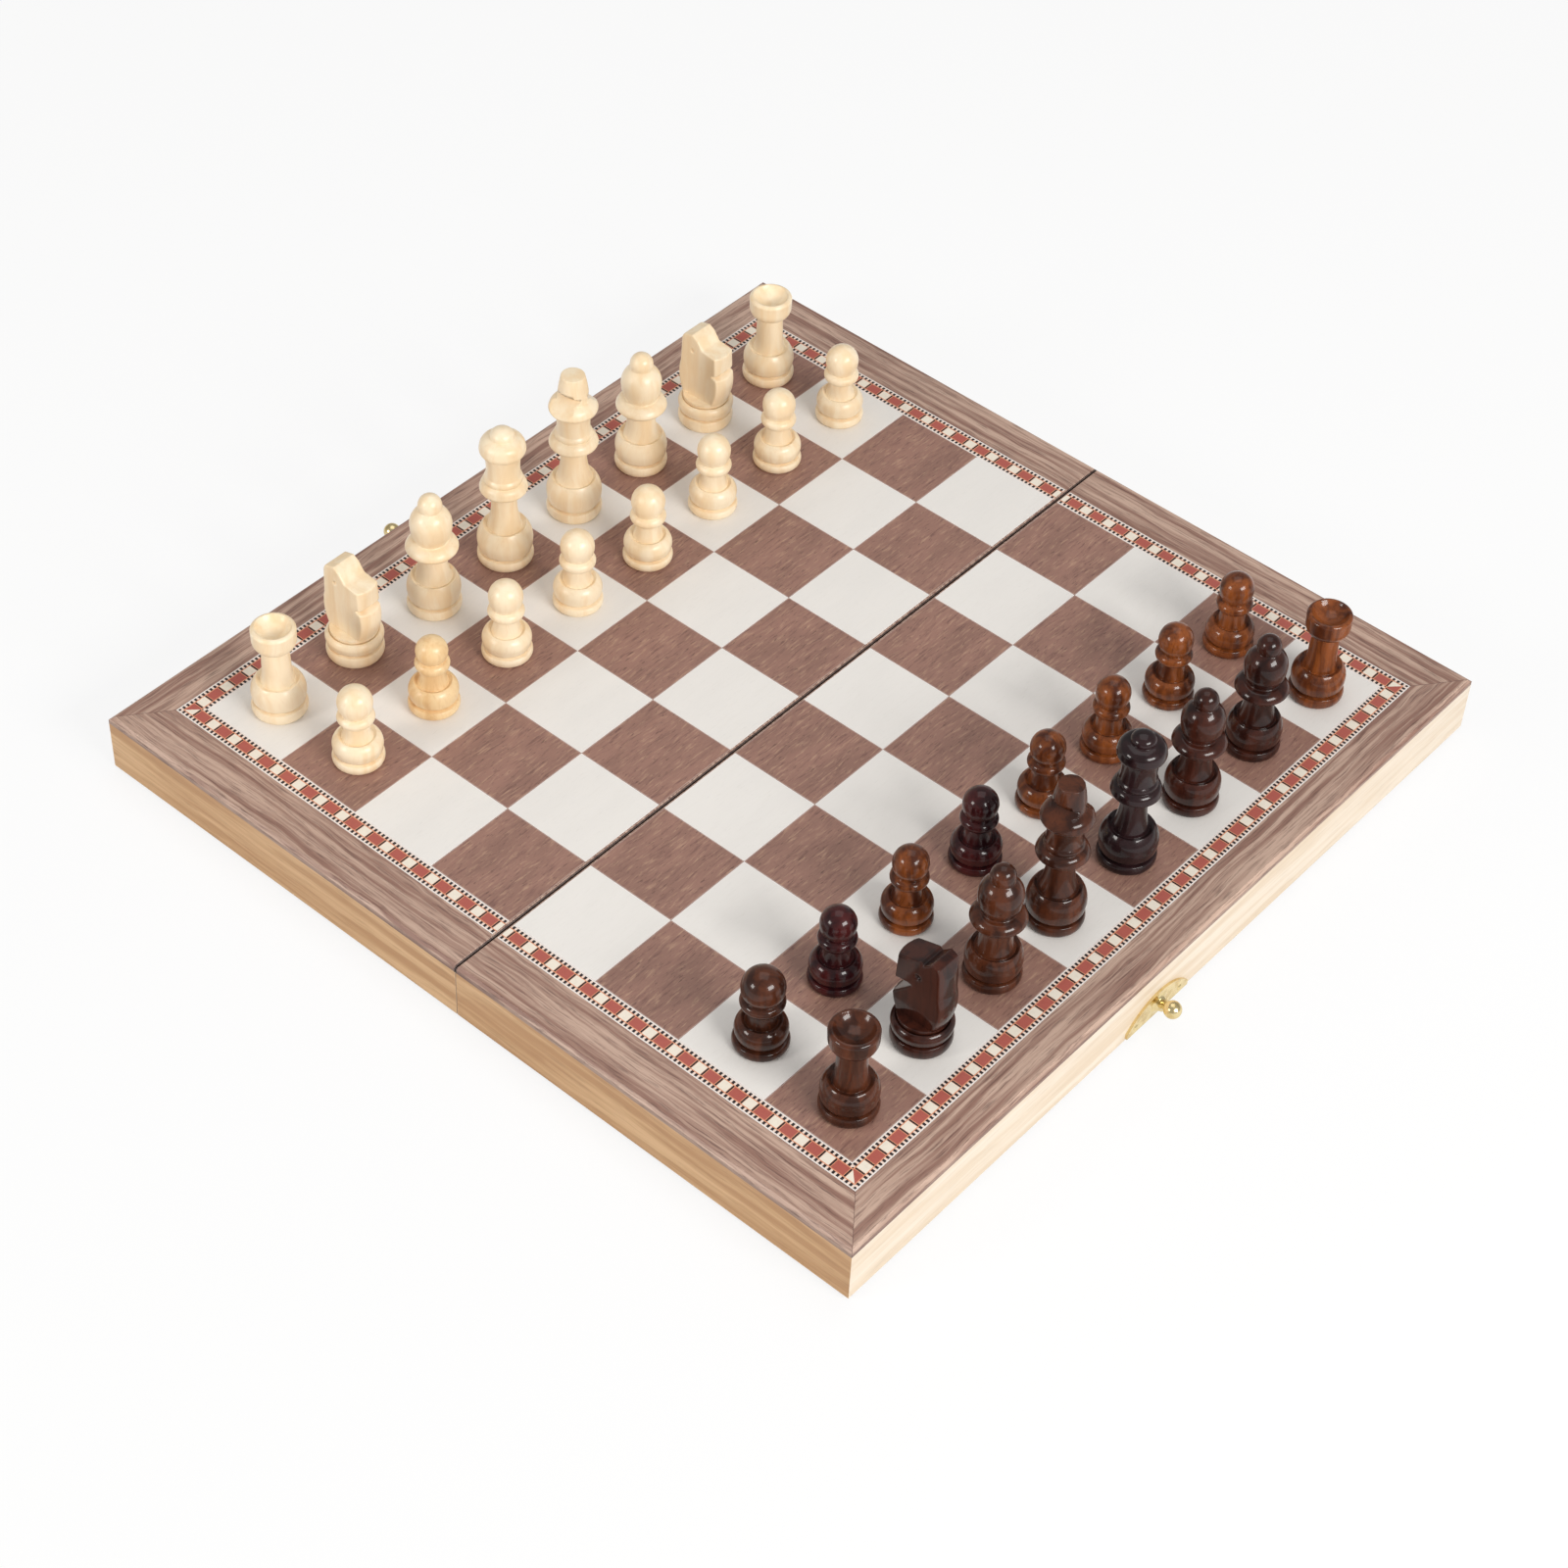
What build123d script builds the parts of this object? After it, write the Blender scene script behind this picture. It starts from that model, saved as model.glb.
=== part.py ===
from build123d import *

import os

# A folding chess set: two shallow wooden trays, hinged along one long side, open flat into an inlaid
# board. Each carries a brass clasp on its outer side. The men stand on the board as laid out to play.
# Millimetres. X runs across the fold from the white half to the black half, Y along the fold, Z up.
# The origin is on the fold, midway along it, level with the lowest point of the hinge barrels.

os.makedirs("parts", exist_ok=True)

# Playing field
square = 31.0
rows = 8
columns = 4
veneer_thick = 0.6
veneer_joint = 0.1
band_wide = 6.8
band_fit = 0.05

# Trays
border_across = 19.0
border_along = 22.5
fold_margin = 0.95
half_gap = 0.15
tray_depth = 20.0
panel_thick = 2.4
edge_bevel = 1.0
fold_bevel = 0.6
rail_wide = 9.0

# Hinges, let into the rims beside the fold
hinge_spacing = 160.0
leaf_long = 24.0
leaf_wide = 8.0
leaf_thick = 0.6
leaf_sink = 0.05
leaf_fit = 0.1
knuckle_radius = 1.1
knuckle_fit = 0.15
knuckle_gap = 0.1
knuckles = 3
pin_radius = 0.5
pin_fit = 0.05
rim_gap = 0.05
screw_spacing = 14.0
screw_reach = 4.8
screw_head_radius = 1.4
screw_radius = 0.7
screw_long = 6.0
screw_point = 1.2
screw_fit = 0.05

# Clasps, set so that the two balls stand side by side when the box is shut
white_clasp_y = -20.0
black_clasp_y = -12.0
plate_long = 28.6
plate_high = 8.5
plate_end_high = 1.8
plate_thick = 0.8
plate_above_rim = 0.8
nail_spacing = 20.6
nail_above_rim = 2.6
nail_head_radius = 1.2
nail_head_high = 0.5
nail_radius = 0.5
nail_long = 5.0
nail_fit = 0.05
boss_above_rim = 4.8
boss_radius = 3.6
boss_top_radius = 1.9
boss_high = 2.0
stem_radius = 1.4
ball_radius = 2.7
ball_out = 7.4
ball_aside = -3.4
ball_rise = 5.0

# Places on the board
white_shift = (0.4, 0.6)
black_shift = (1.3, -0.7)
white_rook_1_shift = (-0.9, -0.4)
white_knight_1_shift = (-2.3, 0.8)
white_pawn_5_shift = (2.0, -0.5)
black_rook_1_shift = (2.5, -1.7)
black_king_shift = (0.7, -2.8)
black_rook_2_shift = (2.2, 0.2)

# All turned men. The heights of a man are each measured from the one before it.
foot_ease = 0.3
groove_deep = 0.6
groove_rise = 0.5

# Pawn
pawn_foot_radius = 7.2
pawn_ring_rise = 3.7
pawn_belly_radius = 7.0
pawn_belly_rise = 1.7
pawn_shoulder_radius = 4.7
pawn_shoulder_rise = 5.0
pawn_neck_root = 3.9
pawn_neck_top = 3.3
pawn_neck_rise = 3.7
pawn_collar_radius = 5.1
pawn_collar_flare = 1.2
pawn_collar_edge = 0.8
pawn_throat_radius = 3.9
pawn_throat_rise = 1.7
pawn_head_radius = 4.95

# Rook
rook_foot_radius = 8.5
rook_ring_rise = 4.0
rook_belly_radius = 8.4
rook_belly_rise = 2.0
rook_shoulder_radius = 6.5
rook_shoulder_rise = 5.8
rook_neck_root = 4.8
rook_neck_top = 3.8
rook_neck_rise = 12.0
rook_neck_hollow = 0.35
rook_cup_radius = 6.4
rook_cup_rise = 3.7
rook_rim_radius = 6.7
rook_rim_rise = 4.5
rook_lip = 0.5
rook_dish_deep = 3.0

# Bishop
bishop_foot_radius = 8.4
bishop_ring_rise = 4.0
bishop_belly_radius = 8.3
bishop_belly_rise = 2.0
bishop_shoulder_radius = 6.8
bishop_shoulder_rise = 5.7
bishop_neck_root = 5.0
bishop_neck_top = 4.5
bishop_neck_rise = 8.3
bishop_neck_hollow = 0.3
bishop_collar_radius = 8.15
bishop_collar_flare = 3.1
bishop_collar_edge = 1.0
bishop_throat_radius = 4.8
bishop_throat_rise = 2.6
bishop_mitre_radius = 6.4
bishop_mitre_rise = 5.0
bishop_crown_rise = 6.7
bishop_knob_root = 2.1
bishop_knob_radius = 3.0

# Queen
queen_foot_radius = 8.8
queen_ring_rise = 3.6
queen_belly_radius = 8.6
queen_belly_rise = 1.8
queen_shoulder_radius = 6.4
queen_shoulder_rise = 7.7
queen_neck_root = 5.2
queen_neck_top = 4.2
queen_neck_rise = 11.9
queen_neck_hollow = 0.6
queen_collar_radius = 7.15
queen_collar_flare = 2.1
queen_collar_edge = 1.0
queen_ring_radius = 5.4
queen_ring_slope = 2.4
queen_ring_edge = 2.0
queen_throat_radius = 4.8
queen_throat_rise = 1.2
queen_bowl_rise = 6.3
queen_bowl_hollow = 0.5
queen_disc_radius = 7.1
queen_disc_edge = 1.4
queen_dome_rise = 4.3
queen_dome_swell = 0.4
queen_knob_root = 1.9
queen_knob_radius = 2.1

# King
king_foot_radius = 8.7
king_ring_rise = 4.0
king_belly_radius = 8.6
king_belly_rise = 2.0
king_shoulder_radius = 6.8
king_shoulder_rise = 8.5
king_neck_root = 5.2
king_neck_top = 4.2
king_neck_rise = 9.8
king_neck_hollow = 0.5
king_collar_radius = 7.7
king_collar_flare = 2.1
king_collar_edge = 1.0
king_ring_radius = 5.6
king_ring_slope = 3.1
king_ring_edge = 2.0
king_throat_radius = 5.0
king_throat_rise = 1.4
king_bowl_rise = 6.4
king_bowl_hollow = 0.6
king_disc_radius = 7.7
king_disc_edge = 0.9
king_crown_radius = 4.6
king_crown_rise = 3.3
king_finial_radius = 4.65
king_finial_rise = 4.0
king_top_radius = 3.75
king_top_rise = 5.5
king_notch_rise = 1.8
king_notch_apart = 2.6
king_notch_wide_up = 3.0
king_notch_wide_down = 3.9
king_notch_reach = 5.4

# Knight
knight_foot_radius = 8.9
knight_ring_rise = 5.4
knight_disc_radius = 8.8
knight_disc_rise = 3.6
knight_head_radius = 7.3
knight_chest_radius = 9.2
knight_chest_rise = 6.6
knight_nape_radius = 8.4
knight_nape_rise = 11.7
knight_blank_rise = 11.0
knight_half_thick = 4.2
knight_cheek_rise = 1.4
knight_mouth_x = 2.2
knight_mouth_rise = 13.9
knight_chin_x = 8.2
knight_chin_drop = 3.9
knight_lip_x = 7.2
knight_lip_rise = 1.6
knight_nose_x = 8.2
knight_nose_rise = 1.6
knight_nose_long = 3.4
knight_brow_x = 7.2
knight_brow_rise = 3.0
knight_notch_x = -1.0
knight_notch_rise = 1.4
knight_ear_x = -3.6
knight_ear_rise = 2.6
knight_crest_x = -5.6
knight_crest_drop = 2.0
knight_nape_drop = 7.0
knight_eye_x = -1.5
knight_eye_drop = 2.6
knight_eye_radius = 0.9
knight_eye_deep = 0.8

# Levels and edges that follow from these
axis_z = knuckle_radius
rim_z = axis_z + rim_gap
top_z = rim_z + tray_depth
panel_z = top_z - panel_thick
veneer_z = top_z - veneer_thick
field_x = fold_margin + columns * square
field_y = rows * square / 2
outer_x = field_x + border_across
outer_y = field_y + border_along
leaf_z = rim_z + leaf_sink
leaf_start = knuckle_radius + knuckle_fit
hinge_places = (-hinge_spacing / 2, hinge_spacing / 2)


def write(piece, name):
    """Labels a finished piece with its name and writes it."""
    piece.part.label = name
    export_step(piece.part, f"parts/{name}.step")


def turning_plane(x, y, facing=1):
    """Upright plane through the middle of a man at (x, y), its own x towards the side he faces."""
    return Plane(origin=(x, y, top_z), x_dir=(facing, 0, 0), z_dir=(0, -facing, 0))


def turning_axis(x, y):
    """The line that a man at (x, y) is turned about."""
    return Axis((x, y, top_z), (0, 0, 1))


def draw_ring(radius, low, high):
    """A slightly rounded ring edge between two heights."""
    inner = radius - foot_ease
    ThreePointArc((inner, low), (radius, (low + high) / 2), (inner, high))


def draw_foot(radius, ring_rise, belly_radius, belly_rise, shoulder_radius, shoulder_rise, neck_root):
    """The outline from the middle of the underside to the root of the neck, and the height it ends at."""
    groove = ring_rise + groove_rise
    belly = groove + belly_rise
    shoulder = belly + shoulder_rise
    Line((0, 0), (radius - foot_ease, 0))
    draw_ring(radius, 0, ring_rise)
    Line((radius - foot_ease, ring_rise), (radius - groove_deep, groove))
    ThreePointArc((radius - groove_deep, groove), (belly_radius, belly), (shoulder_radius, shoulder))
    Line((shoulder_radius, shoulder), (neck_root, shoulder))
    return shoulder


def draw_cap(radius, edge, middle):
    """A part of a ball, hollow or raised, from an edge of the given radius to the axis."""
    rise = middle - edge
    ball = (radius**2 + rise**2) / (2 * rise)
    halfway = middle - ball + (ball**2 - radius**2 / 4) ** 0.5 * (1 if rise > 0 else -1)
    ThreePointArc((radius, edge), (radius / 2, halfway), (0, middle))


def draw_neck(root, low, top, high, hollow):
    """A hollowed neck between two heights."""
    ThreePointArc((root, low), ((root + top) / 2 - hollow, (low + high) / 2), (top, high))


def make_pawn(x, y):
    with BuildPart() as pawn:
        with BuildSketch(turning_plane(x, y)):
            with BuildLine():
                shoulder = draw_foot(
                    pawn_foot_radius,
                    pawn_ring_rise,
                    pawn_belly_radius,
                    pawn_belly_rise,
                    pawn_shoulder_radius,
                    pawn_shoulder_rise,
                    pawn_neck_root,
                )
                neck = shoulder + pawn_neck_rise
                collar = neck + pawn_collar_flare
                throat = collar + pawn_collar_edge + pawn_throat_rise
                head = throat + (pawn_head_radius**2 - pawn_throat_radius**2) ** 0.5
                Polyline(
                    (pawn_neck_root, shoulder),
                    (pawn_neck_top, neck),
                    (pawn_collar_radius, collar),
                    (pawn_collar_radius, collar + pawn_collar_edge),
                    (pawn_throat_radius, throat),
                )
                ThreePointArc((pawn_throat_radius, throat), (pawn_head_radius, head), (0, head + pawn_head_radius))
                Line((0, head + pawn_head_radius), (0, 0))
            make_face()
        revolve(axis=turning_axis(x, y))
    return pawn


def make_rook(x, y):
    with BuildPart() as rook:
        with BuildSketch(turning_plane(x, y)):
            with BuildLine():
                shoulder = draw_foot(
                    rook_foot_radius,
                    rook_ring_rise,
                    rook_belly_radius,
                    rook_belly_rise,
                    rook_shoulder_radius,
                    rook_shoulder_rise,
                    rook_neck_root,
                )
                neck = shoulder + rook_neck_rise
                cup = neck + rook_cup_rise
                rim = cup + rook_rim_rise
                lip = rook_rim_radius - rook_lip
                draw_neck(rook_neck_root, shoulder, rook_neck_top, neck, rook_neck_hollow)
                Polyline(
                    (rook_neck_top, neck),
                    (rook_cup_radius, cup),
                    (rook_rim_radius, rim),
                    (lip, rim),
                )
                draw_cap(lip, rim, rim - rook_dish_deep)
                Line((0, rim - rook_dish_deep), (0, 0))
            make_face()
        revolve(axis=turning_axis(x, y))
    return rook


def make_bishop(x, y):
    with BuildPart() as bishop:
        with BuildSketch(turning_plane(x, y)):
            with BuildLine():
                shoulder = draw_foot(
                    bishop_foot_radius,
                    bishop_ring_rise,
                    bishop_belly_radius,
                    bishop_belly_rise,
                    bishop_shoulder_radius,
                    bishop_shoulder_rise,
                    bishop_neck_root,
                )
                neck = shoulder + bishop_neck_rise
                collar = neck + bishop_collar_flare
                edge = collar + bishop_collar_edge
                throat = edge + bishop_throat_rise
                mitre = throat + bishop_mitre_rise
                crown = mitre + bishop_crown_rise
                knob = crown + (bishop_knob_radius**2 - bishop_knob_root**2) ** 0.5
                draw_neck(bishop_neck_root, shoulder, bishop_neck_top, neck, bishop_neck_hollow)
                Polyline(
                    (bishop_neck_top, neck),
                    (bishop_collar_radius, collar),
                    (bishop_collar_radius, edge),
                    (bishop_throat_radius, throat),
                )
                TangentArc((bishop_mitre_radius, mitre), (bishop_throat_radius, throat), tangent=(0, -1))
                TangentArc((bishop_mitre_radius, mitre), (bishop_knob_root, crown), tangent=(0, 1))
                ThreePointArc(
                    (bishop_knob_root, crown), (bishop_knob_radius, knob), (0, knob + bishop_knob_radius)
                )
                Line((0, knob + bishop_knob_radius), (0, 0))
            make_face()
        revolve(axis=turning_axis(x, y))
    return bishop


def make_queen(x, y):
    with BuildPart() as queen:
        with BuildSketch(turning_plane(x, y)):
            with BuildLine():
                shoulder = draw_foot(
                    queen_foot_radius,
                    queen_ring_rise,
                    queen_belly_radius,
                    queen_belly_rise,
                    queen_shoulder_radius,
                    queen_shoulder_rise,
                    queen_neck_root,
                )
                neck = shoulder + queen_neck_rise
                collar = neck + queen_collar_flare
                edge = collar + queen_collar_edge
                ring = edge + queen_ring_slope
                ring_top = ring + queen_ring_edge
                throat = ring_top + queen_throat_rise
                bowl = throat + queen_bowl_rise
                disc = bowl + queen_disc_edge
                dome = disc + queen_dome_rise
                knob = dome + (queen_knob_radius**2 - queen_knob_root**2) ** 0.5
                draw_neck(queen_neck_root, shoulder, queen_neck_top, neck, queen_neck_hollow)
                Polyline(
                    (queen_neck_top, neck),
                    (queen_collar_radius, collar),
                    (queen_collar_radius, edge),
                    (queen_ring_radius, ring),
                    (queen_ring_radius, ring_top),
                    (queen_throat_radius, throat),
                )
                draw_neck(queen_throat_radius, throat, queen_disc_radius, bowl, queen_bowl_hollow)
                Line((queen_disc_radius, bowl), (queen_disc_radius, disc))
                draw_neck(queen_disc_radius, disc, queen_knob_root, dome, -queen_dome_swell)
                ThreePointArc((queen_knob_root, dome), (queen_knob_radius, knob), (0, knob + queen_knob_radius))
                Line((0, knob + queen_knob_radius), (0, 0))
            make_face()
        revolve(axis=turning_axis(x, y))
    return queen


def make_king(x, y):
    with BuildPart() as king:
        with BuildSketch(turning_plane(x, y)):
            with BuildLine():
                shoulder = draw_foot(
                    king_foot_radius,
                    king_ring_rise,
                    king_belly_radius,
                    king_belly_rise,
                    king_shoulder_radius,
                    king_shoulder_rise,
                    king_neck_root,
                )
                neck = shoulder + king_neck_rise
                collar = neck + king_collar_flare
                edge = collar + king_collar_edge
                ring = edge + king_ring_slope
                ring_top = ring + king_ring_edge
                throat = ring_top + king_throat_rise
                bowl = throat + king_bowl_rise
                disc = bowl + king_disc_edge
                crown = disc + king_crown_rise
                finial = crown + king_finial_rise
                finial_top = finial + king_top_rise
                draw_neck(king_neck_root, shoulder, king_neck_top, neck, king_neck_hollow)
                Polyline(
                    (king_neck_top, neck),
                    (king_collar_radius, collar),
                    (king_collar_radius, edge),
                    (king_ring_radius, ring),
                    (king_ring_radius, ring_top),
                    (king_throat_radius, throat),
                )
                draw_neck(king_throat_radius, throat, king_disc_radius, bowl, king_bowl_hollow)
                Polyline(
                    (king_disc_radius, bowl),
                    (king_disc_radius, disc),
                    (king_crown_radius, crown),
                    (king_finial_radius, finial),
                    (king_top_radius, finial_top),
                    (0, finial_top),
                    (0, 0),
                )
            make_face()
        revolve(axis=turning_axis(x, y))
        # A notch sawn across the crown from each side leaves the finial in the way of a cross
        notch = crown + king_notch_rise
        notch_end = king_notch_apart + king_notch_reach
        with BuildSketch(Plane(origin=(x, y, top_z), x_dir=(0, 1, 0), z_dir=(1, 0, 0))):
            for way in (-1, 1):
                Polygon(
                    (way * king_notch_apart, notch),
                    (way * notch_end, notch + king_notch_wide_up),
                    (way * notch_end, notch - king_notch_wide_down),
                    align=None,
                )
        extrude(amount=notch_end, both=True, mode=Mode.SUBTRACT)
    return king


def make_knight(x, y, facing):
    plane = turning_plane(x, y, facing)
    disc_low = knight_ring_rise + groove_rise
    disc = disc_low + knight_disc_rise
    chest = disc + knight_chest_rise
    nape = chest + knight_nape_rise
    blank = nape + knight_blank_rise
    mouth = disc + knight_mouth_rise
    lip = mouth + knight_lip_rise
    nose = lip + knight_nose_rise
    nose_top = nose + knight_nose_long
    brow = nose_top + knight_brow_rise
    notch = brow + knight_notch_rise
    ear = notch + knight_ear_rise
    crest = ear - knight_crest_drop
    back = crest - knight_nape_drop
    outside = 2 * knight_foot_radius
    chin = mouth - knight_chin_drop * (outside - knight_mouth_x) / (knight_chin_x - knight_mouth_x)
    with BuildPart() as knight:
        with BuildSketch(plane):
            with BuildLine():
                Line((0, 0), (knight_foot_radius - foot_ease, 0))
                draw_ring(knight_foot_radius, 0, knight_ring_rise)
                Polyline(
                    (knight_foot_radius - foot_ease, knight_ring_rise),
                    (knight_foot_radius - groove_deep, disc_low),
                    (knight_disc_radius - foot_ease, disc_low),
                )
                draw_ring(knight_disc_radius, disc_low, disc)
                Line((knight_disc_radius - foot_ease, disc), (knight_head_radius, disc))
                ThreePointArc(
                    (knight_head_radius, disc), (knight_chest_radius, chest), (knight_nape_radius, nape)
                )
                Polyline((knight_nape_radius, nape), (knight_nape_radius, blank), (0, blank), (0, 0))
            make_face()
        revolve(axis=turning_axis(x, y))
        # The waste round the head, down to the mouth
        with BuildSketch(plane):
            Polygon(
                (outside, chin),
                (knight_mouth_x, mouth),
                (knight_lip_x, lip),
                (knight_nose_x, nose),
                (knight_nose_x, nose_top),
                (knight_brow_x, brow),
                (knight_notch_x, notch),
                (knight_ear_x, ear),
                (knight_crest_x, crest),
                (-knight_nape_radius, back),
                (-outside, back),
                (-outside, blank + knight_ear_rise),
                (outside, blank + knight_ear_rise),
                align=None,
            )
        extrude(amount=outside, both=True, mode=Mode.SUBTRACT)
        # Flat cheeks, each with a drilled eye
        with BuildSketch(plane.offset(knight_half_thick), plane.offset(-outside)):
            with Locations((0, disc + knight_cheek_rise + blank / 2)):
                Rectangle(2 * outside, blank)
        extrude(amount=outside - knight_half_thick, mode=Mode.SUBTRACT)
        eye_level = brow - knight_eye_drop
        eye_start = knight_half_thick - knight_eye_deep
        with BuildSketch(plane.offset(eye_start), plane.offset(-knight_half_thick)):
            with Locations((knight_eye_x, eye_level)):
                Circle(knight_eye_radius)
        extrude(amount=knight_eye_deep, mode=Mode.SUBTRACT)
    return knight


def knuckle_plane(y):
    """Plane across the hinge axis at y."""
    return Plane(origin=(0, y, axis_z), x_dir=(1, 0, 0), z_dir=(0, 1, 0))


def clasp_plane(side, clasp_y):
    """Plane on the outer side of a half, its own y up from the rim below the clasp."""
    return Plane(origin=(side * outer_x, clasp_y, rim_z), x_dir=(0, side, 0), z_dir=(side, 0, 0))


def screw_places(side, hinge_y):
    """Places of the two screws of one leaf."""
    return [
        (side * screw_reach, hinge_y - screw_spacing / 2),
        (side * screw_reach, hinge_y + screw_spacing / 2),
    ]


# The two halves of the box: the white one on the -X side of the fold, the black one on the +X side
for half, side, clasp_y in (("white", -1, white_clasp_y), ("black", 1, black_clasp_y)):
    near_x = side * half_gap
    far_x = side * outer_x
    near_inside_x = side * (half_gap + rail_wide)
    far_inside_x = side * (outer_x - rail_wide)
    inside_y = outer_y - rail_wide
    recess_long = field_x + band_wide + band_fit - (fold_margin - band_fit)

    with BuildPart() as panel:
        with BuildSketch(Plane.XY.offset(panel_z)):
            with Locations(((near_x + far_x) / 2, 0)):
                Rectangle(outer_x - half_gap, 2 * outer_y)
        extrude(amount=panel_thick)
        top_edges = panel.faces().sort_by(Axis.Z)[-1].edges().sort_by(Axis.X, reverse=side < 0)
        chamfer(top_edges[1:], length=edge_bevel)
        top_edges = panel.faces().sort_by(Axis.Z)[-1].edges().sort_by(Axis.X, reverse=side < 0)
        chamfer(top_edges[0], length=fold_bevel)
        with BuildSketch(Plane.XY.offset(veneer_z)):
            with Locations((side * (fold_margin - band_fit + recess_long / 2), 0)):
                Rectangle(recess_long, 2 * (field_y + band_wide + band_fit))
        extrude(amount=veneer_thick, mode=Mode.SUBTRACT)
    write(panel, f"{half}_panel")

    # The veneers: column 0 is beside the fold, and the light squares lie to each player's right
    for shade, parity in (("light", 0), ("dark", 1)):
        with BuildPart() as tiles:
            with BuildSketch(Plane.XY.offset(veneer_z)):
                for column in range(columns):
                    for row in range(rows):
                        rank = columns + column if side > 0 else columns - 1 - column
                        if (rank + row) % 2 == parity:
                            tile_x = side * (fold_margin + (column + 0.5) * square)
                            with Locations((tile_x, (row + 0.5) * square - field_y)):
                                Rectangle(square - veneer_joint, square - veneer_joint)
            extrude(amount=veneer_thick)
        write(tiles, f"{half}_{shade}_squares")

    with BuildPart() as band:
        with BuildSketch(Plane.XY.offset(veneer_z)):
            Polygon(
                (side * fold_margin, -field_y - band_wide),
                (side * (field_x + band_wide), -field_y - band_wide),
                (side * (field_x + band_wide), field_y + band_wide),
                (side * fold_margin, field_y + band_wide),
                (side * fold_margin, field_y),
                (side * field_x, field_y),
                (side * field_x, -field_y),
                (side * fold_margin, -field_y),
                align=None,
            )
        extrude(amount=veneer_thick)
    write(band, f"{half}_inlay_band")

    # Rails, mitred at the corners, under the panel
    with BuildPart() as clasp_rail:
        with BuildSketch(Plane.XY.offset(rim_z)):
            Polygon(
                (far_x, -outer_y),
                (far_x, outer_y),
                (far_inside_x, inside_y),
                (far_inside_x, -inside_y),
                align=None,
            )
        extrude(amount=panel_z - rim_z)
        with BuildSketch(clasp_plane(side, clasp_y)):
            with Locations((-nail_spacing / 2, nail_above_rim), (nail_spacing / 2, nail_above_rim)):
                Circle(nail_radius + nail_fit)
        extrude(amount=-(nail_long - plate_thick + nail_fit), mode=Mode.SUBTRACT)
    write(clasp_rail, f"{half}_clasp_rail")

    with BuildPart() as hinge_rail:
        with BuildSketch(Plane.XY.offset(rim_z)):
            Polygon(
                (near_x, -outer_y),
                (near_x, outer_y),
                (near_inside_x, inside_y),
                (near_inside_x, -inside_y),
                align=None,
            )
        extrude(amount=panel_z - rim_z)
        for hinge_y in hinge_places:
            with BuildSketch(Plane.XY.offset(rim_z)):
                with Locations((side * (leaf_wide + leaf_fit) / 2, hinge_y)):
                    Rectangle(leaf_wide + leaf_fit, leaf_long + 2 * leaf_fit)
            extrude(amount=leaf_sink + leaf_thick, mode=Mode.SUBTRACT)
            with BuildSketch(knuckle_plane(hinge_y - leaf_long / 2 - leaf_fit)):
                Circle(knuckle_radius + knuckle_fit)
            extrude(amount=leaf_long + 2 * leaf_fit, mode=Mode.SUBTRACT)
            with BuildSketch(Plane.XY.offset(leaf_z + leaf_thick)):
                with Locations(*screw_places(side, hinge_y)):
                    Circle(screw_radius + screw_fit)
            extrude(amount=screw_long - leaf_thick + screw_fit, mode=Mode.SUBTRACT)
    write(hinge_rail, f"{half}_hinge_rail")

    for end_name, end in (("front", -1), ("back", 1)):
        with BuildPart() as end_rail:
            with BuildSketch(Plane.XY.offset(rim_z)):
                Polygon(
                    (near_x, end * outer_y),
                    (far_x, end * outer_y),
                    (far_inside_x, end * inside_y),
                    (near_inside_x, end * inside_y),
                    align=None,
                )
            extrude(amount=panel_z - rim_z)
        write(end_rail, f"{half}_{end_name}_end_rail")

    # Hinge leaves: the white ones carry the outer knuckles, the black ones those between
    knuckle_pitch = leaf_long / knuckles
    with BuildPart() as leaves:
        for hinge_y in hinge_places:
            with BuildSketch(Plane.XY.offset(leaf_z)):
                with Locations((side * (leaf_start + leaf_wide) / 2, hinge_y)):
                    Rectangle(leaf_wide - leaf_start, leaf_long)
                for knuckle in range(0 if side < 0 else 1, knuckles, 2):
                    tongue_y = hinge_y + (knuckle + 0.5) * knuckle_pitch - leaf_long / 2
                    with Locations((side * leaf_start / 2, tongue_y)):
                        Rectangle(leaf_start, knuckle_pitch - knuckle_gap)
            extrude(amount=leaf_thick)
            for knuckle in range(0 if side < 0 else 1, knuckles, 2):
                knuckle_y = hinge_y + knuckle * knuckle_pitch - leaf_long / 2 + knuckle_gap / 2
                with BuildSketch(knuckle_plane(knuckle_y)):
                    Circle(knuckle_radius)
                extrude(amount=knuckle_pitch - knuckle_gap)
            with BuildSketch(knuckle_plane(hinge_y - leaf_long / 2)):
                Circle(pin_radius + pin_fit)
            extrude(amount=leaf_long, mode=Mode.SUBTRACT)
            for screw_x, screw_y in screw_places(side, hinge_y):
                with BuildSketch(Plane(origin=(screw_x, screw_y, leaf_z), x_dir=(1, 0, 0), z_dir=(0, -1, 0))):
                    Polygon(
                        (0, 0),
                        (screw_head_radius + screw_fit, 0),
                        (screw_radius + screw_fit, leaf_thick),
                        (0, leaf_thick),
                        align=None,
                    )
                revolve(axis=Axis((screw_x, screw_y, leaf_z), (0, 0, 1)), mode=Mode.SUBTRACT)
    write(leaves, f"{half}_leaves")

    with BuildPart() as leaf_screws:
        for hinge_y in hinge_places:
            for screw_x, screw_y in screw_places(side, hinge_y):
                with BuildSketch(Plane(origin=(screw_x, screw_y, leaf_z), x_dir=(1, 0, 0), z_dir=(0, -1, 0))):
                    Polygon(
                        (0, 0),
                        (screw_head_radius, 0),
                        (screw_radius, leaf_thick),
                        (screw_radius, screw_long - screw_point),
                        (0, screw_long),
                        align=None,
                    )
                revolve(axis=Axis((screw_x, screw_y, leaf_z), (0, 0, 1)))
    write(leaf_screws, f"{half}_leaf_screws")

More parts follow.
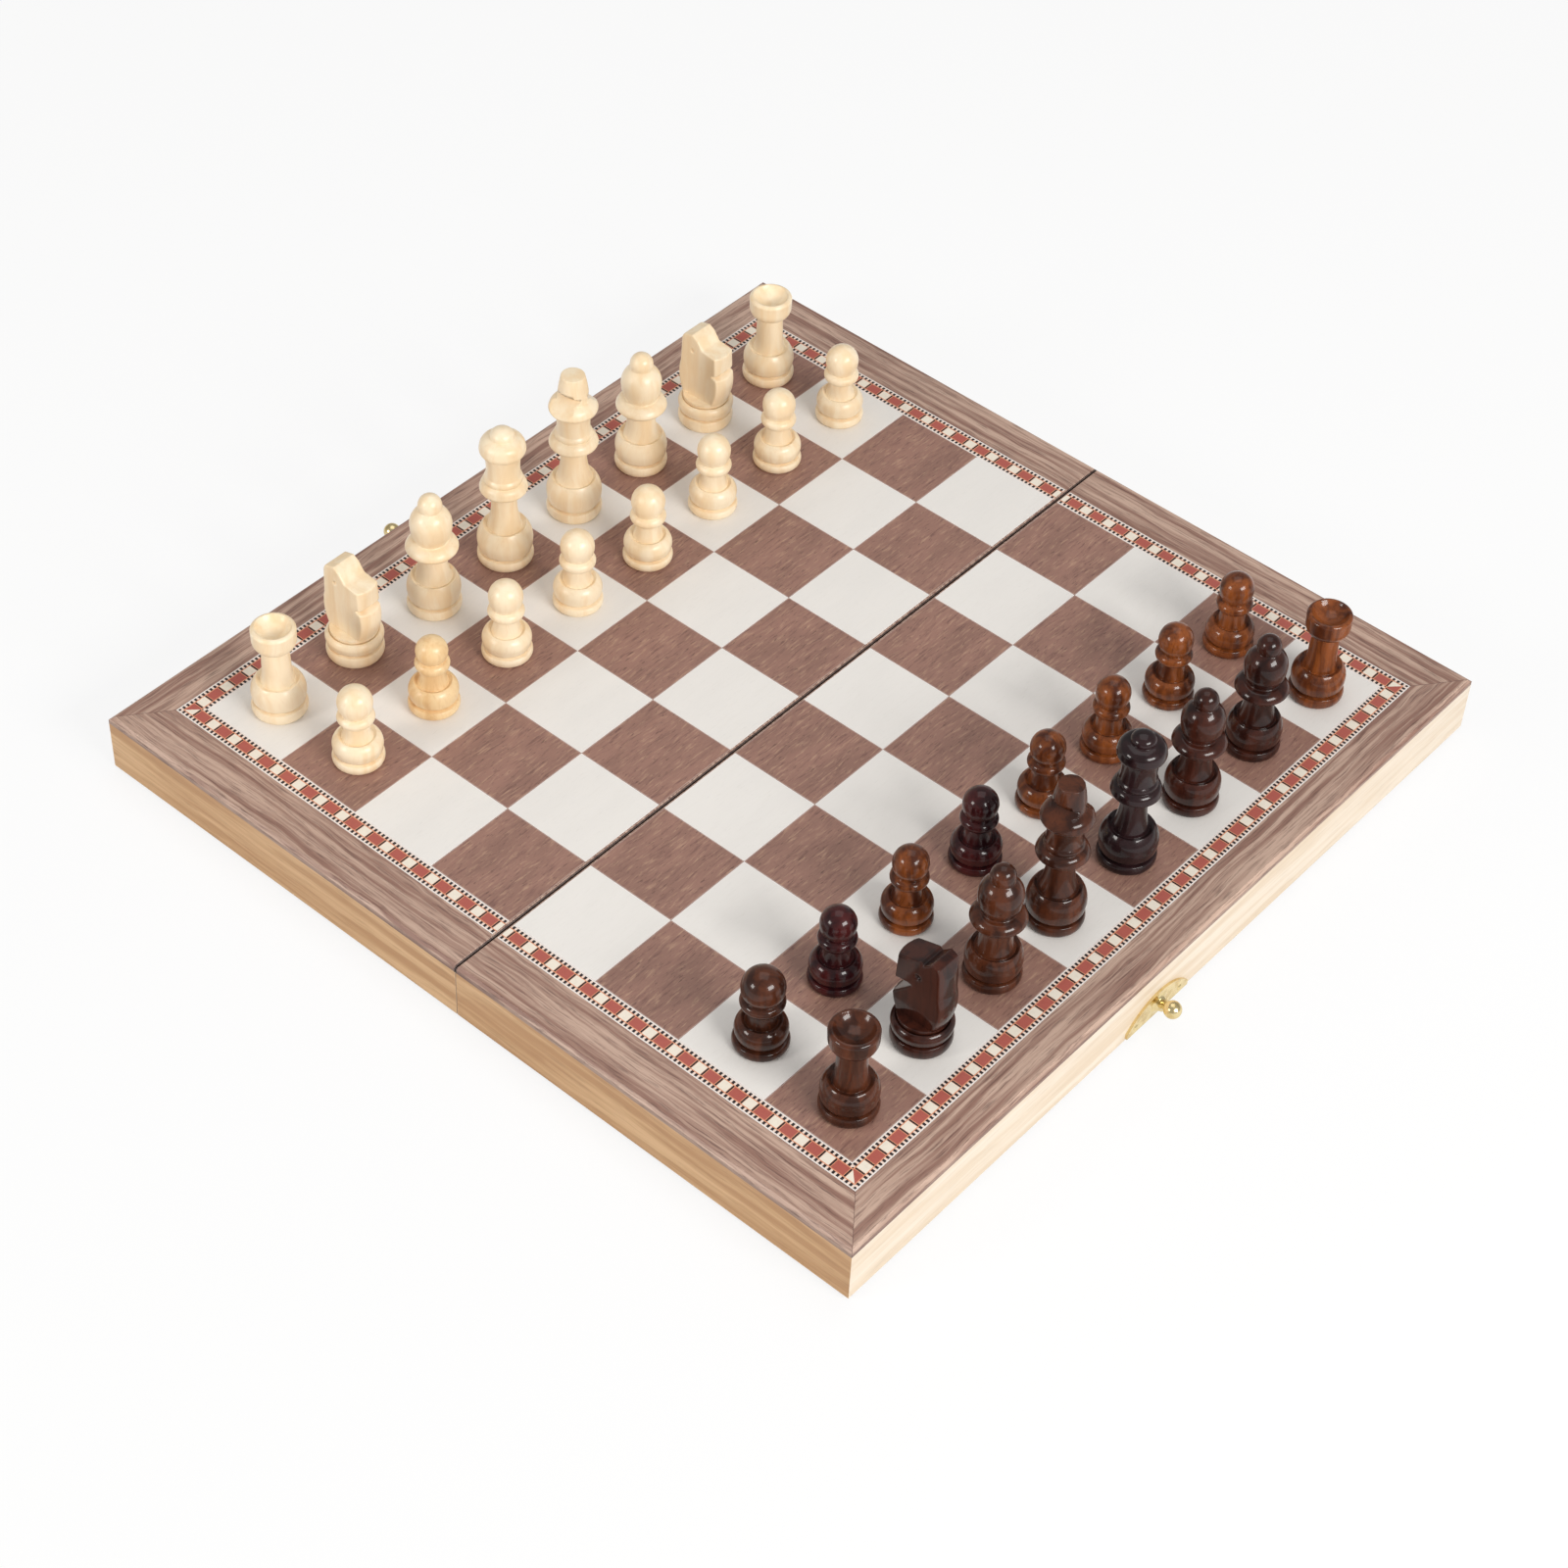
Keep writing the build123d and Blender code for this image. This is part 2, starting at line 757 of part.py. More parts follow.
    # Clasp: an arched plate with its nails, and the ball on its leaning stem
    with BuildPart() as clasp_plate:
        with BuildSketch(clasp_plane(side, clasp_y)):
            with BuildLine():
                Polyline(
                    (-plate_long / 2, plate_above_rim + plate_end_high),
                    (-plate_long / 2, plate_above_rim),
                    (plate_long / 2, plate_above_rim),
                    (plate_long / 2, plate_above_rim + plate_end_high),
                )
                ThreePointArc(
                    (plate_long / 2, plate_above_rim + plate_end_high),
                    (0, plate_above_rim + plate_high),
                    (-plate_long / 2, plate_above_rim + plate_end_high),
                )
            make_face()
            with Locations((-nail_spacing / 2, nail_above_rim), (nail_spacing / 2, nail_above_rim)):
                Circle(nail_radius + nail_fit, mode=Mode.SUBTRACT)
        extrude(amount=plate_thick)
    write(clasp_plate, f"{half}_clasp_plate")

    boss_base = Vector(side * (outer_x + plate_thick), clasp_y, rim_z + boss_above_rim)
    ball_centre = Vector(side * (outer_x + ball_out), clasp_y + ball_aside, boss_base.Z + ball_rise)
    stem_line = ball_centre - boss_base
    stem_start = boss_high * 0.6
    stem_end = stem_line.length - (ball_radius**2 - stem_radius**2) ** 0.5
    with BuildPart() as clasp_ball_stud:
        with BuildSketch(Plane(origin=boss_base, x_dir=(0, -1, 0), z_dir=(0, 0, side))):
            with BuildLine():
                Line((0, 0), (boss_radius, 0))
                ThreePointArc(
                    (boss_radius, 0),
                    ((boss_radius + boss_top_radius) / 2 - boss_high * 0.15, boss_high * 0.35),
                    (boss_top_radius, boss_high),
                )
                Polyline((boss_top_radius, boss_high), (0, boss_high), (0, 0))
            make_face()
        revolve(axis=Axis(boss_base, (side, 0, 0)))
        across_stem = Plane(origin=boss_base, x_dir=(0, 0, 1), z_dir=stem_line)
        with BuildSketch(Plane(origin=boss_base, x_dir=across_stem.x_dir, z_dir=-across_stem.y_dir)):
            with BuildLine():
                Polyline((stem_radius, stem_end), (stem_radius, stem_start), (0, stem_start))
                Line((0, stem_start), (0, stem_line.length + ball_radius))
                ThreePointArc(
                    (stem_radius, stem_end),
                    (ball_radius, stem_line.length),
                    (0, stem_line.length + ball_radius),
                )
            make_face()
        revolve(axis=Axis(boss_base, stem_line))
    write(clasp_ball_stud, f"{half}_clasp_ball_stud")

    with BuildPart() as clasp_nails:
        for way in (-1, 1):
            nail_base = (side * (outer_x + plate_thick), clasp_y + way * nail_spacing / 2, rim_z + nail_above_rim)
            with BuildSketch(Plane(origin=nail_base, x_dir=(0, -1, 0), z_dir=(0, 0, side))):
                with BuildLine():
                    draw_cap(nail_head_radius, 0, nail_head_high)
                    Polyline(
                        (0, nail_head_high),
                        (0, -nail_long),
                        (nail_radius, -nail_long),
                        (nail_radius, 0),
                        (nail_head_radius, 0),
                    )
                make_face()
            revolve(axis=Axis(nail_base, (side, 0, 0)))
    write(clasp_nails, f"{half}_clasp_nails")

with BuildPart() as hinge_pins:
    for hinge_y in hinge_places:
        with BuildSketch(knuckle_plane(hinge_y - leaf_long / 2)):
            Circle(pin_radius)
        extrude(amount=leaf_long)
write(hinge_pins, "hinge_pins")


# The men, each on the middle of its square but for a small shift
def place(side, column, row, shift):
    """Where a man stands, column 0 being the one beside the fold."""
    return (
        side * (fold_margin + (column + 0.5) * square) + shift[0],
        (row + 0.5) * square - field_y + shift[1],
    )


back_column = columns - 1
pawn_column = columns - 2

white_men = (
    ("white_rook_1", make_rook, white_rook_1_shift),
    ("white_knight_1", make_knight, white_knight_1_shift),
    ("white_bishop_1", make_bishop, white_shift),
    ("white_queen", make_queen, white_shift),
    ("white_king", make_king, white_shift),
    ("white_bishop_2", make_bishop, white_shift),
    ("white_knight_2", make_knight, white_shift),
    ("white_rook_2", make_rook, white_shift),
)
black_men = (
    ("black_rook_1", make_rook, black_rook_1_shift),
    ("black_knight_1", make_knight, black_shift),
    ("black_bishop_1", make_bishop, black_shift),
    ("black_king", make_king, black_king_shift),
    ("black_queen", make_queen, black_shift),
    ("black_bishop_2", make_bishop, black_shift),
    ("black_bishop_3", make_bishop, black_shift),
    ("black_rook_2", make_rook, black_rook_2_shift),
)
for side, men in ((-1, white_men), (1, black_men)):
    for row, (name, make, shift) in enumerate(men):
        man_x, man_y = place(side, back_column, row, shift)
        if make is make_knight:
            write(make_knight(man_x, man_y, -side), name)
        else:
            write(make(man_x, man_y), name)

for row in range(rows):
    white_pawn_shift = white_pawn_5_shift if row == 4 else white_shift
    write(make_pawn(*place(-1, pawn_column, row, white_pawn_shift)), f"white_pawn_{row + 1}")
    write(make_pawn(*place(1, pawn_column, row, black_shift)), f"black_pawn_{row + 1}")
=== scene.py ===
import logging
import math
from collections.abc import Callable
from dataclasses import dataclass
from enum import Enum
from typing import Union

import bmesh
import bpy
from mathutils import Matrix, Vector


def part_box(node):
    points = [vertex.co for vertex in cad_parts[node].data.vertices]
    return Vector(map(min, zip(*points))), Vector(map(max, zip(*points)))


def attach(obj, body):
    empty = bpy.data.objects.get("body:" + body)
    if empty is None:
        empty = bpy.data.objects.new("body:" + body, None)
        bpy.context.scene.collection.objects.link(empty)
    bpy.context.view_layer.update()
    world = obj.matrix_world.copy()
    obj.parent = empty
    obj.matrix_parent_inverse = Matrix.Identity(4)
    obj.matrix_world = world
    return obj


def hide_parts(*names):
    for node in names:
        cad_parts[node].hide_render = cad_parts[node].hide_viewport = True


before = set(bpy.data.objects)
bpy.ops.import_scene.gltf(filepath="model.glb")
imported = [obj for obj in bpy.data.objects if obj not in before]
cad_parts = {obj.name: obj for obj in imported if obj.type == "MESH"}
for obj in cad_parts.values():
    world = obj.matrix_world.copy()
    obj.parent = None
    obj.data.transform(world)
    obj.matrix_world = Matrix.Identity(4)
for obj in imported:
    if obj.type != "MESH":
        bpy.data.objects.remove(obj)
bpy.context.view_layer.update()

log = logging.getLogger("chess_set")

MM = 0.001
Spot = tuple[float, float]
Colour = tuple[float, float, float]
Operand = Union["Value", float]
WHITE: Colour = (1.0, 1.0, 1.0)


def shade(red: int, green: int, blue: int) -> Colour:
    """Turns a colour as seen on a screen into the linear one that a shader takes.

    Args:
        red: Red, 0 to 255.
        green: Green, 0 to 255.
        blue: Blue, 0 to 255.

    Returns:
        The linear red, green and blue.
    """
    linear = []
    for channel in (red, green, blue):
        level = channel / 255
        linear.append(level / 12.92 if level <= 0.04045 else ((level + 0.055) / 1.055) ** 2.4)
    return linear[0], linear[1], linear[2]


class Grain(Enum):
    """The direction that the fibres of a piece of wood run in."""

    ACROSS_FOLD = 0
    ALONG_FOLD = 1


def arithmetic(operation: str, swapped: bool = False) -> Callable[..., "Value"]:
    """Makes a method of Value that adds one Math node.

    Args:
        operation: The node's operation.
        swapped: True where the other operand comes first.

    Returns:
        The method.
    """

    def method(value: "Value", other: Operand = 0.0) -> "Value":
        """Adds the node and gives its result."""
        first, second = (other, value) if swapped else (value, other)
        sockets = {0: first, 1: second}
        node = value.shader.node("ShaderNodeMath", {"operation": operation}, sockets)
        return Value(value.shader, node.outputs[0])

    return method


class Value:
    """A shader socket that can stand in a Python expression.

    A comparison gives 1 where it holds and 0 elsewhere.
    """

    def __init__(self, shader: "Shader", socket: bpy.types.NodeSocket) -> None:
        """Wraps a socket.

        Args:
            shader: The shader that the socket belongs to.
            socket: The output socket.
        """
        self.shader = shader
        self.socket = socket

    __add__ = arithmetic("ADD")
    __sub__ = arithmetic("SUBTRACT")
    __rsub__ = arithmetic("SUBTRACT", swapped=True)
    __mul__ = arithmetic("MULTIPLY")
    __rmul__ = arithmetic("MULTIPLY", swapped=True)
    __truediv__ = arithmetic("DIVIDE")
    __abs__ = arithmetic("ABSOLUTE")
    __gt__ = arithmetic("GREATER_THAN")
    __lt__ = arithmetic("LESS_THAN")
    fraction = arithmetic("FRACT")
    at_least = arithmetic("MAXIMUM")
    at_most = arithmetic("MINIMUM")

    def between(self, low: float, high: float) -> "Value":
        """Rises smoothly from 0 at one value to 1 at another.

        Args:
            low: Where it is 0.
            high: Where it is 1.

        Returns:
            The smooth step.
        """
        node = self.shader.node(
            "ShaderNodeMapRange",
            {"interpolation_type": "SMOOTHSTEP"},
            {"Value": self, "From Min": low, "From Max": high, "To Min": 0.0, "To Max": 1.0},
        )
        return Value(self.shader, node.outputs["Result"])


class Shader:
    """A node-based material under construction. Lengths in it are millimetres."""

    def __init__(self, name: str) -> None:
        """Starts a material with a Principled shader.

        Args:
            name: The material's name.
        """
        self.material = bpy.data.materials.new(name)
        self.material.use_nodes = True
        self.tree = self.material.node_tree
        self.tree.nodes.clear()
        self.surface = self.node("ShaderNodeBsdfPrincipled")
        self.output = self.node(
            "ShaderNodeOutputMaterial", None, {"Surface": self.surface.outputs[0]}
        )
        self._place: tuple[Value, Value, Value] | None = None

    @classmethod
    def room(cls, name: str) -> "Shader":
        """Starts the nodes of the scene's surroundings.

        Args:
            name: The world's name.

        Returns:
            The shader, with no nodes yet.
        """
        world = bpy.data.worlds.new(name)
        world.use_nodes = True
        bpy.context.scene.world = world
        made = cls.__new__(cls)
        made.tree = world.node_tree
        made.tree.nodes.clear()
        made._place = None
        return made

    def node(
        self,
        kind: str,
        settings: dict[str, object] | None = None,
        inputs: dict[int | str, object] | None = None,
    ) -> bpy.types.Node:
        """Adds a node.

        Args:
            kind: The node's type.
            settings: Its properties, set before its sockets.
            inputs: Values, sockets or expressions for its sockets.

        Returns:
            The node.
        """
        made = self.tree.nodes.new(kind)
        for name, setting in (settings or {}).items():
            setattr(made, name, setting)
        for name, content in (inputs or {}).items():
            socket = made.inputs[name]
            if isinstance(content, Value):
                self.tree.links.new(content.socket, socket)
            elif isinstance(content, bpy.types.NodeSocket):
                self.tree.links.new(content, socket)
            elif isinstance(content, tuple) and len(content) == 3 and socket.type == "RGBA":
                socket.default_value = (*content, 1.0)
            else:
                socket.default_value = content
        return made

    def place(self) -> tuple[Value, Value, Value]:
        """Gives the point on the surface, in millimetres in the set's own frame."""
        if self._place is None:
            here = self.node("ShaderNodeTexCoord").outputs["Object"]
            parts = self.node("ShaderNodeSeparateXYZ", None, {0: here})
            x, y, z = (Value(self, parts.outputs[axis]) * (1.0 / MM) for axis in range(3))
            self._place = x, y, z
        return self._place

    def point(self, x: Operand, y: Operand, z: Operand) -> bpy.types.NodeSocket:
        """Joins three values into a point."""
        return self.node("ShaderNodeCombineXYZ", None, {0: x, 1: y, 2: z}).outputs[0]

    def noise(
        self, x: Operand, y: Operand, z: Operand, detail: float = 3.0, rough: float = 0.55
    ) -> Value:
        """Adds cloudy noise, about one lump to a unit.

        Args:
            x: First coordinate, already scaled.
            y: Second coordinate.
            z: Third coordinate.
            detail: How many finer layers it has.
            rough: How strong the finer layers are.

        Returns:
            The noise, about 0.2 to 0.8.
        """
        made = self.node(
            "ShaderNodeTexNoise",
            None,
            {"Vector": self.point(x, y, z), "Scale": 1.0, "Detail": detail, "Roughness": rough},
        )
        return Value(self, made.outputs[0])

    def blend(
        self,
        amount: Operand,
        first: bpy.types.NodeSocket | Colour,
        second: bpy.types.NodeSocket | Colour,
    ) -> bpy.types.NodeSocket:
        """Mixes two colours.

        Args:
            amount: 0 for the first, 1 for the second.
            first: A colour or a colour socket.
            second: A colour or a colour socket.

        Returns:
            The mixed colour.
        """
        made = self.node("ShaderNodeMix", {"data_type": "RGBA"}, {0: amount, 6: first, 7: second})
        return made.outputs[2]

    def relief(self, height: Value, deep: float) -> None:
        """Lets a height in 0 to 1 raise the surface.

        Args:
            height: The height.
            deep: What a height of 1 stands for, in millimetres.
        """
        bump = self.node(
            "ShaderNodeBump", None, {"Strength": 1.0, "Distance": deep * MM, "Height": height}
        )
        self.tree.links.new(bump.outputs[0], self.surface.inputs["Normal"])

    def rays(self) -> tuple[Value, Value]:
        """Gives where the surface is looked at straight or through glass, and where in gloss."""
        path = self.node("ShaderNodeLightPath")
        seen = Value(self, path.outputs["Is Camera Ray"])
        clear = Value(self, path.outputs["Is Transmission Ray"])
        return seen.at_least(clear), Value(self, path.outputs["Is Glossy Ray"])

    def close(
        self,
        colour: bpy.types.NodeSocket | Colour,
        roughness: Operand,
        metallic: float = 0.0,
        coat: float = 0.0,
        coat_roughness: float = 0.1,
    ) -> bpy.types.Material:
        """Feeds the Principled shader and gives the material.

        Args:
            colour: The base colour.
            roughness: The roughness.
            metallic: 1 for bare metal.
            coat: The weight of the clear coat.
            coat_roughness: The roughness of the clear coat.

        Returns:
            The finished material.
        """
        if isinstance(colour, tuple):
            self.surface.inputs["Base Color"].default_value = (*colour, 1.0)
        else:
            self.tree.links.new(colour, self.surface.inputs["Base Color"])
        if isinstance(roughness, Value):
            self.tree.links.new(roughness.socket, self.surface.inputs["Roughness"])
        else:
            self.surface.inputs["Roughness"].default_value = roughness
        self.surface.inputs["Metallic"].default_value = metallic
        self.surface.inputs["Coat Weight"].default_value = coat
        self.surface.inputs["Coat Roughness"].default_value = coat_roughness
        return self.material


@dataclass(frozen=True)
class BoardSizes:
    """The sizes of the board's face that its patterns follow, in millimetres."""

    square: float = 31.0
    fold_margin: float = 0.95
    field_x: float = 124.95
    field_y: float = 124.0
    band: float = 6.8
    outer_x: float = 143.95
    outer_y: float = 146.5
    top: float = 21.15


BOARD = BoardSizes()


def darker(colour: Colour, share: float) -> Colour:
    """Gives a colour with all its channels lowered to a share."""
    return colour[0] * share, colour[1] * share, colour[2] * share


def put(name: str, content: bpy.types.ID) -> bpy.types.Object:
    """Adds an object with the given mesh, light or camera to the scene."""
    made = bpy.data.objects.new(name, content)
    bpy.context.scene.collection.objects.link(made)
    return made


@dataclass(frozen=True)
class Timber:
    """Planed wood with lengthwise grain."""

    name: str
    pale: Colour
    dark: Colour
    grain: Grain
    seed: float = 0.0
    streak: float = 1.6
    pore: float = 0.3
    pore_wide: float = 0.55
    roughness: float = 0.5

    def directions(self, shader: Shader) -> tuple[Value, Value, Value]:
        """Gives the coordinates along the fibres and the two across them."""
        x, y, z = shader.place()
        return (x, y, z) if self.grain is Grain.ACROSS_FOLD else (y, x, z)

    def make(self) -> bpy.types.Material:
        """Builds the material."""
        shader = Shader(self.name)
        along, side, deep = self.directions(shader)
        bend = (shader.noise(along / 60.0 + self.seed, side / 18.0, deep / 18.0) - 0.5) * 5.0
        wide = self.streak * 2.2
        side, deep = side + bend, deep + bend
        broad = shader.noise(along / 90.0 + self.seed, side / wide, deep / wide, 4.0)
        fine = shader.noise(
            along / 14.0 + self.seed, side / self.pore_wide, deep / self.pore_wide, 3.0, 0.65
        )
        colour = shader.blend(broad.between(0.36, 0.66), self.pale, self.dark)
        colour = shader.blend(fine.between(0.5, 0.78) * self.pore, colour, darker(self.dark, 0.62))
        shader.relief(fine, 0.05)
        return shader.close(colour, 0.08 * fine + (self.roughness - 0.04))


@dataclass(frozen=True)
class WalnutBorder:
    """The panel's border: four lengthwise pieces mitred at the corners."""

    name: str = "walnut_border"
    pale: Colour = shade(198, 168, 150)
    dark: Colour = shade(144, 108, 94)
    pore: Colour = shade(84, 58, 52)
    # line is the colour of the painted shade in the gap along the fold.
    line: Colour = shade(52, 38, 36)
    seam_share: float = 0.012
    bevel_deep: float = 0.9
    fold_shade_share: float = 0.55
    apart: float = 37.0

    def make(self) -> bpy.types.Material:
        """Builds the material."""
        shader = Shader(self.name)
        x, y, z = shader.place()
        from_side = (BOARD.outer_x - abs(x)) / (BOARD.outer_x - BOARD.field_x - BOARD.band)
        from_end = (BOARD.outer_y - abs(y)) / (BOARD.outer_y - BOARD.field_y - BOARD.band)
        long_side = from_side < from_end
        along = long_side * y + (1 - long_side) * x
        across = long_side * x + (1 - long_side) * y + long_side * self.apart
        bend = (shader.noise(along / 45.0, across / 14.0, z / 14.0) - 0.5) * 5.0
        broad = shader.noise(along / 80.0, (across + bend) / 1.9, z / 3.0, 5.0)
        fine = shader.noise(along / 9.0, (across + bend) / 0.45, z / 0.6, 3.0, 0.65)
        colour = shader.blend(broad.between(0.38, 0.64), self.pale, self.dark)
        colour = shader.blend(fine.between(0.48, 0.72) * 0.65, colour, self.pore)
        seam = abs(from_side - from_end) < self.seam_share
        colour = shader.blend(seam * 0.55, colour, self.pore)
        # Painted shade: the bevel and edge below the top are darkened towards the pore colour.
        colour = shader.blend((z < BOARD.top - self.bevel_deep) * 0.4, colour, self.pore)
        # Painted shade: a dark strip along the fold stands in for the shade in the gap between the
        # two halves.
        fold_gap_shade = abs(x) < BOARD.fold_margin * self.fold_shade_share
        colour = shader.blend(fold_gap_shade * 0.85, colour, self.line)
        shader.relief(fine, 0.05)
        return shader.close(colour, 0.1 * fine + 0.42)


@dataclass(frozen=True)
class Veneer:
    """One shade of the squares, with fine strokes that run along the fold."""

    name: str
    base: Colour
    light: Colour
    stroke: Colour
    strength: float
    edge: Colour
    edge_strength: float
    edge_wide: float = 0.3
    roughness: float = 0.42

    def make(self) -> bpy.types.Material:
        """Builds the material."""
        shader = Shader(self.name)
        x, y, _ = shader.place()
        wander = (shader.noise(x / 12.0, y / 26.0, 3.0, 2.0) - 0.5) * 3.0
        across = x + wander
        tone = shader.noise(across / 9.0, y / 34.0, 0.0, 3.0)
        strokes = shader.noise(across / 0.95, y / 9.0, 0.0, 4.0, 0.7)
        glints = shader.noise(across / 0.8, y / 6.0, 5.0, 3.0, 0.6)
        ticks = shader.noise(across / 0.5, y / 3.2, 7.0, 2.0, 0.6)
        colour = self.base
        for amount, other in (
            (tone.between(0.35, 0.68) * self.strength, darker(self.base, 0.82)),
            (glints.between(0.5, 0.74) * self.strength * 0.6, self.light),
            (strokes.between(0.5, 0.72) * self.strength * 0.8, self.stroke),
            (ticks.between(0.6, 0.72) * self.strength * 0.7, darker(self.stroke, 0.6)),
        ):
            colour = shader.blend(amount, colour, other)
        in_x = abs(((abs(x) - BOARD.fold_margin) / BOARD.square).fraction() - 0.5)
        in_y = abs(((y + BOARD.field_y) / BOARD.square).fraction() - 0.5)
        rim = in_x.at_least(in_y) > 0.5 - self.edge_wide / BOARD.square
        colour = shader.blend(rim * self.edge_strength, colour, self.edge)
        shader.relief(strokes, 0.02)
        return shader.close(colour, 0.1 * strokes + (self.roughness - 0.05))


@dataclass(frozen=True)
class InlayBand:
    """Cream and red blocks between rows of black dots, with a white line on each side.

    The cream, bar and red numbers are lengths from the middle of a cream block, and the row and
    line numbers are lengths from the nearer edge of the band.
    """

    name: str = "inlay_band"
    pitch: float = 9.1
    cream_end: float = 1.6
    bar: tuple[float, float] = (1.7, 2.25)
    red_start: float = 2.45
    margin_end: float = 1.8
    row_end: float = 1.45
    dot_pitch: float = 1.52
    dot_share: float = 0.55
    dot_end: float = 1.5
    line_end: float = 0.42
    cream: Colour = shade(240, 230, 214)
    red: Colour = shade(176, 90, 78)
    orange: Colour = shade(226, 154, 118)
    ground: Colour = shade(240, 218, 204)
    black: Colour = shade(34, 24, 26)
    white: Colour = shade(240, 232, 226)

    def make(self) -> bpy.types.Material:
        """Builds the material."""
        shader = Shader(self.name)
        x, y, _ = shader.place()
        beyond_x = abs(x) - BOARD.field_x
        beyond_y = abs(y) - BOARD.field_y
        on_side = beyond_x > beyond_y
        across = beyond_x.at_least(beyond_y)
        from_corner_y = BOARD.field_y + BOARD.band / 2 - abs(y)
        from_corner_x = BOARD.field_x + BOARD.band / 2 - abs(x)
        run = on_side * from_corner_y + (1 - on_side) * from_corner_x
        phase = run / self.pitch + on_side * 0.5
        from_cream = abs((phase + 100.5).fraction() - 0.5) * self.pitch
        from_edge = across.at_most(BOARD.band - across)
        bar_start, bar_end = self.bar
        dot = (run / self.dot_pitch + 100.0).fraction() < self.dot_share
        colour = self.orange
        for amount, other in (
            (from_cream > self.red_start, self.red),
            ((from_cream > bar_start) * (from_cream < bar_end), self.black),
            (from_cream < self.cream_end, self.cream),
            (from_edge < self.margin_end, self.orange),
            (from_edge < self.row_end, self.ground),
            (dot * (from_edge < self.dot_end), self.black),
            (from_edge < self.line_end, self.white),
        ):
            colour = shader.blend(amount, colour, other)
        wash = shader.noise(x / 1.6, y / 1.6, 0.0, 3.0)
        dimmed = shader.blend(0.25, colour, self.black)
        colour = shader.blend(wash.between(0.45, 0.75) * 0.25, colour, dimmed)
        shader.relief(wash, 0.01)
        return shader.close(colour, 0.08 * wash + 0.38)


@dataclass(frozen=True)
class TurnedWood:
    """Wood turned on a lathe, under satin wax or gloss lacquer."""

    name: str
    pale: Colour
    dark: Colour
    pore: Colour
    contrast: float
    roughness: float
    coat: float
    coat_roughness: float = 0.2
    seed: float = 0.0
    turning: float = 0.015
    shine: float = 0.5

    def make(self) -> bpy.types.Material:
        """Builds the material."""
        shader = Shader(self.name)
        x, y, z = shader.place()
        bend = (shader.noise(x / 9.0 + self.seed, y / 9.0, z / 24.0) - 0.5) * 6.0
        broad = shader.noise((x + bend) / 5.0 + self.seed, (y + bend) / 5.0, z / 60.0, 3.0)
        fine = shader.noise((x + bend) / 0.8, (y + bend) / 0.8 + self.seed, z / 16.0, 3.0, 0.65)
        cut = shader.noise(0.0, self.seed, z / 0.35, 1.0)
        colour = shader.blend(broad.between(0.36, 0.66), self.pale, self.dark)
        colour = shader.blend(fine.between(0.48, 0.76) * self.contrast, colour, self.pore)
        shader.relief(cut, self.turning)
        shader.surface.inputs["Specular IOR Level"].default_value = self.shine
        return shader.close(
            colour, 0.1 * fine + (self.roughness - 0.05), 0.0, self.coat, self.coat_roughness
        )


@dataclass(frozen=True)
class Metal:
    """Stamped or turned metal with faint scratches."""

    name: str
    colour: Colour
    worn: Colour
    roughness: float

    def make(self) -> bpy.types.Material:
        """Builds the material."""
        shader = Shader(self.name)
        x, y, z = shader.place()
        cloud = shader.noise(x / 3.0, y / 3.0, z / 3.0, 3.0)
        scratch = shader.noise(x / 0.2, y / 2.5, z / 0.2, 2.0)
        colour = shader.blend(cloud.between(0.4, 0.7), self.colour, self.worn)
        shader.relief(scratch, 0.006)
        return shader.close(colour, 0.12 * scratch + 0.1 * cloud + (self.roughness - 0.1), 1.0)


@dataclass
class BoxHalf:
    """One hollow half of the board with its clasp and hinge leaves."""

    name: str
    rail_across: Timber
    rail_along: Timber
    panel: bpy.types.Material
    light: bpy.types.Material
    dark: bpy.types.Material
    band: bpy.types.Material
    brass: bpy.types.Material
    steel: bpy.types.Material

    def dress(self) -> None:
        """Gives every piece of the half its finish."""
        across = self.rail_across.make()
        along = self.rail_along.make()
        finishes = {
            "clasp_rail": along,
            "hinge_rail": along,
            "front_end_rail": across,
            "back_end_rail": across,
            "panel": self.panel,
            "light_squares": self.light,
            "dark_squares": self.dark,
            "inlay_band": self.band,
            "clasp_plate": self.brass,
            "clasp_ball_stud": self.brass,
            "clasp_nails": self.brass,
            "leaves": self.brass,
            "leaf_screws": self.steel,
        }
        for piece, finish in finishes.items():
            paint(f"{self.name}_{piece}", finish)
            log.info("dressed %s_%s", self.name, piece)


def paint(node: str, finish: bpy.types.Material) -> None:
    """Puts one material on a node of the frame.

    Args:
        node: The node's name.
        finish: The material.
    """
    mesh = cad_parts[node].data
    mesh.materials.clear()
    mesh.materials.append(finish)


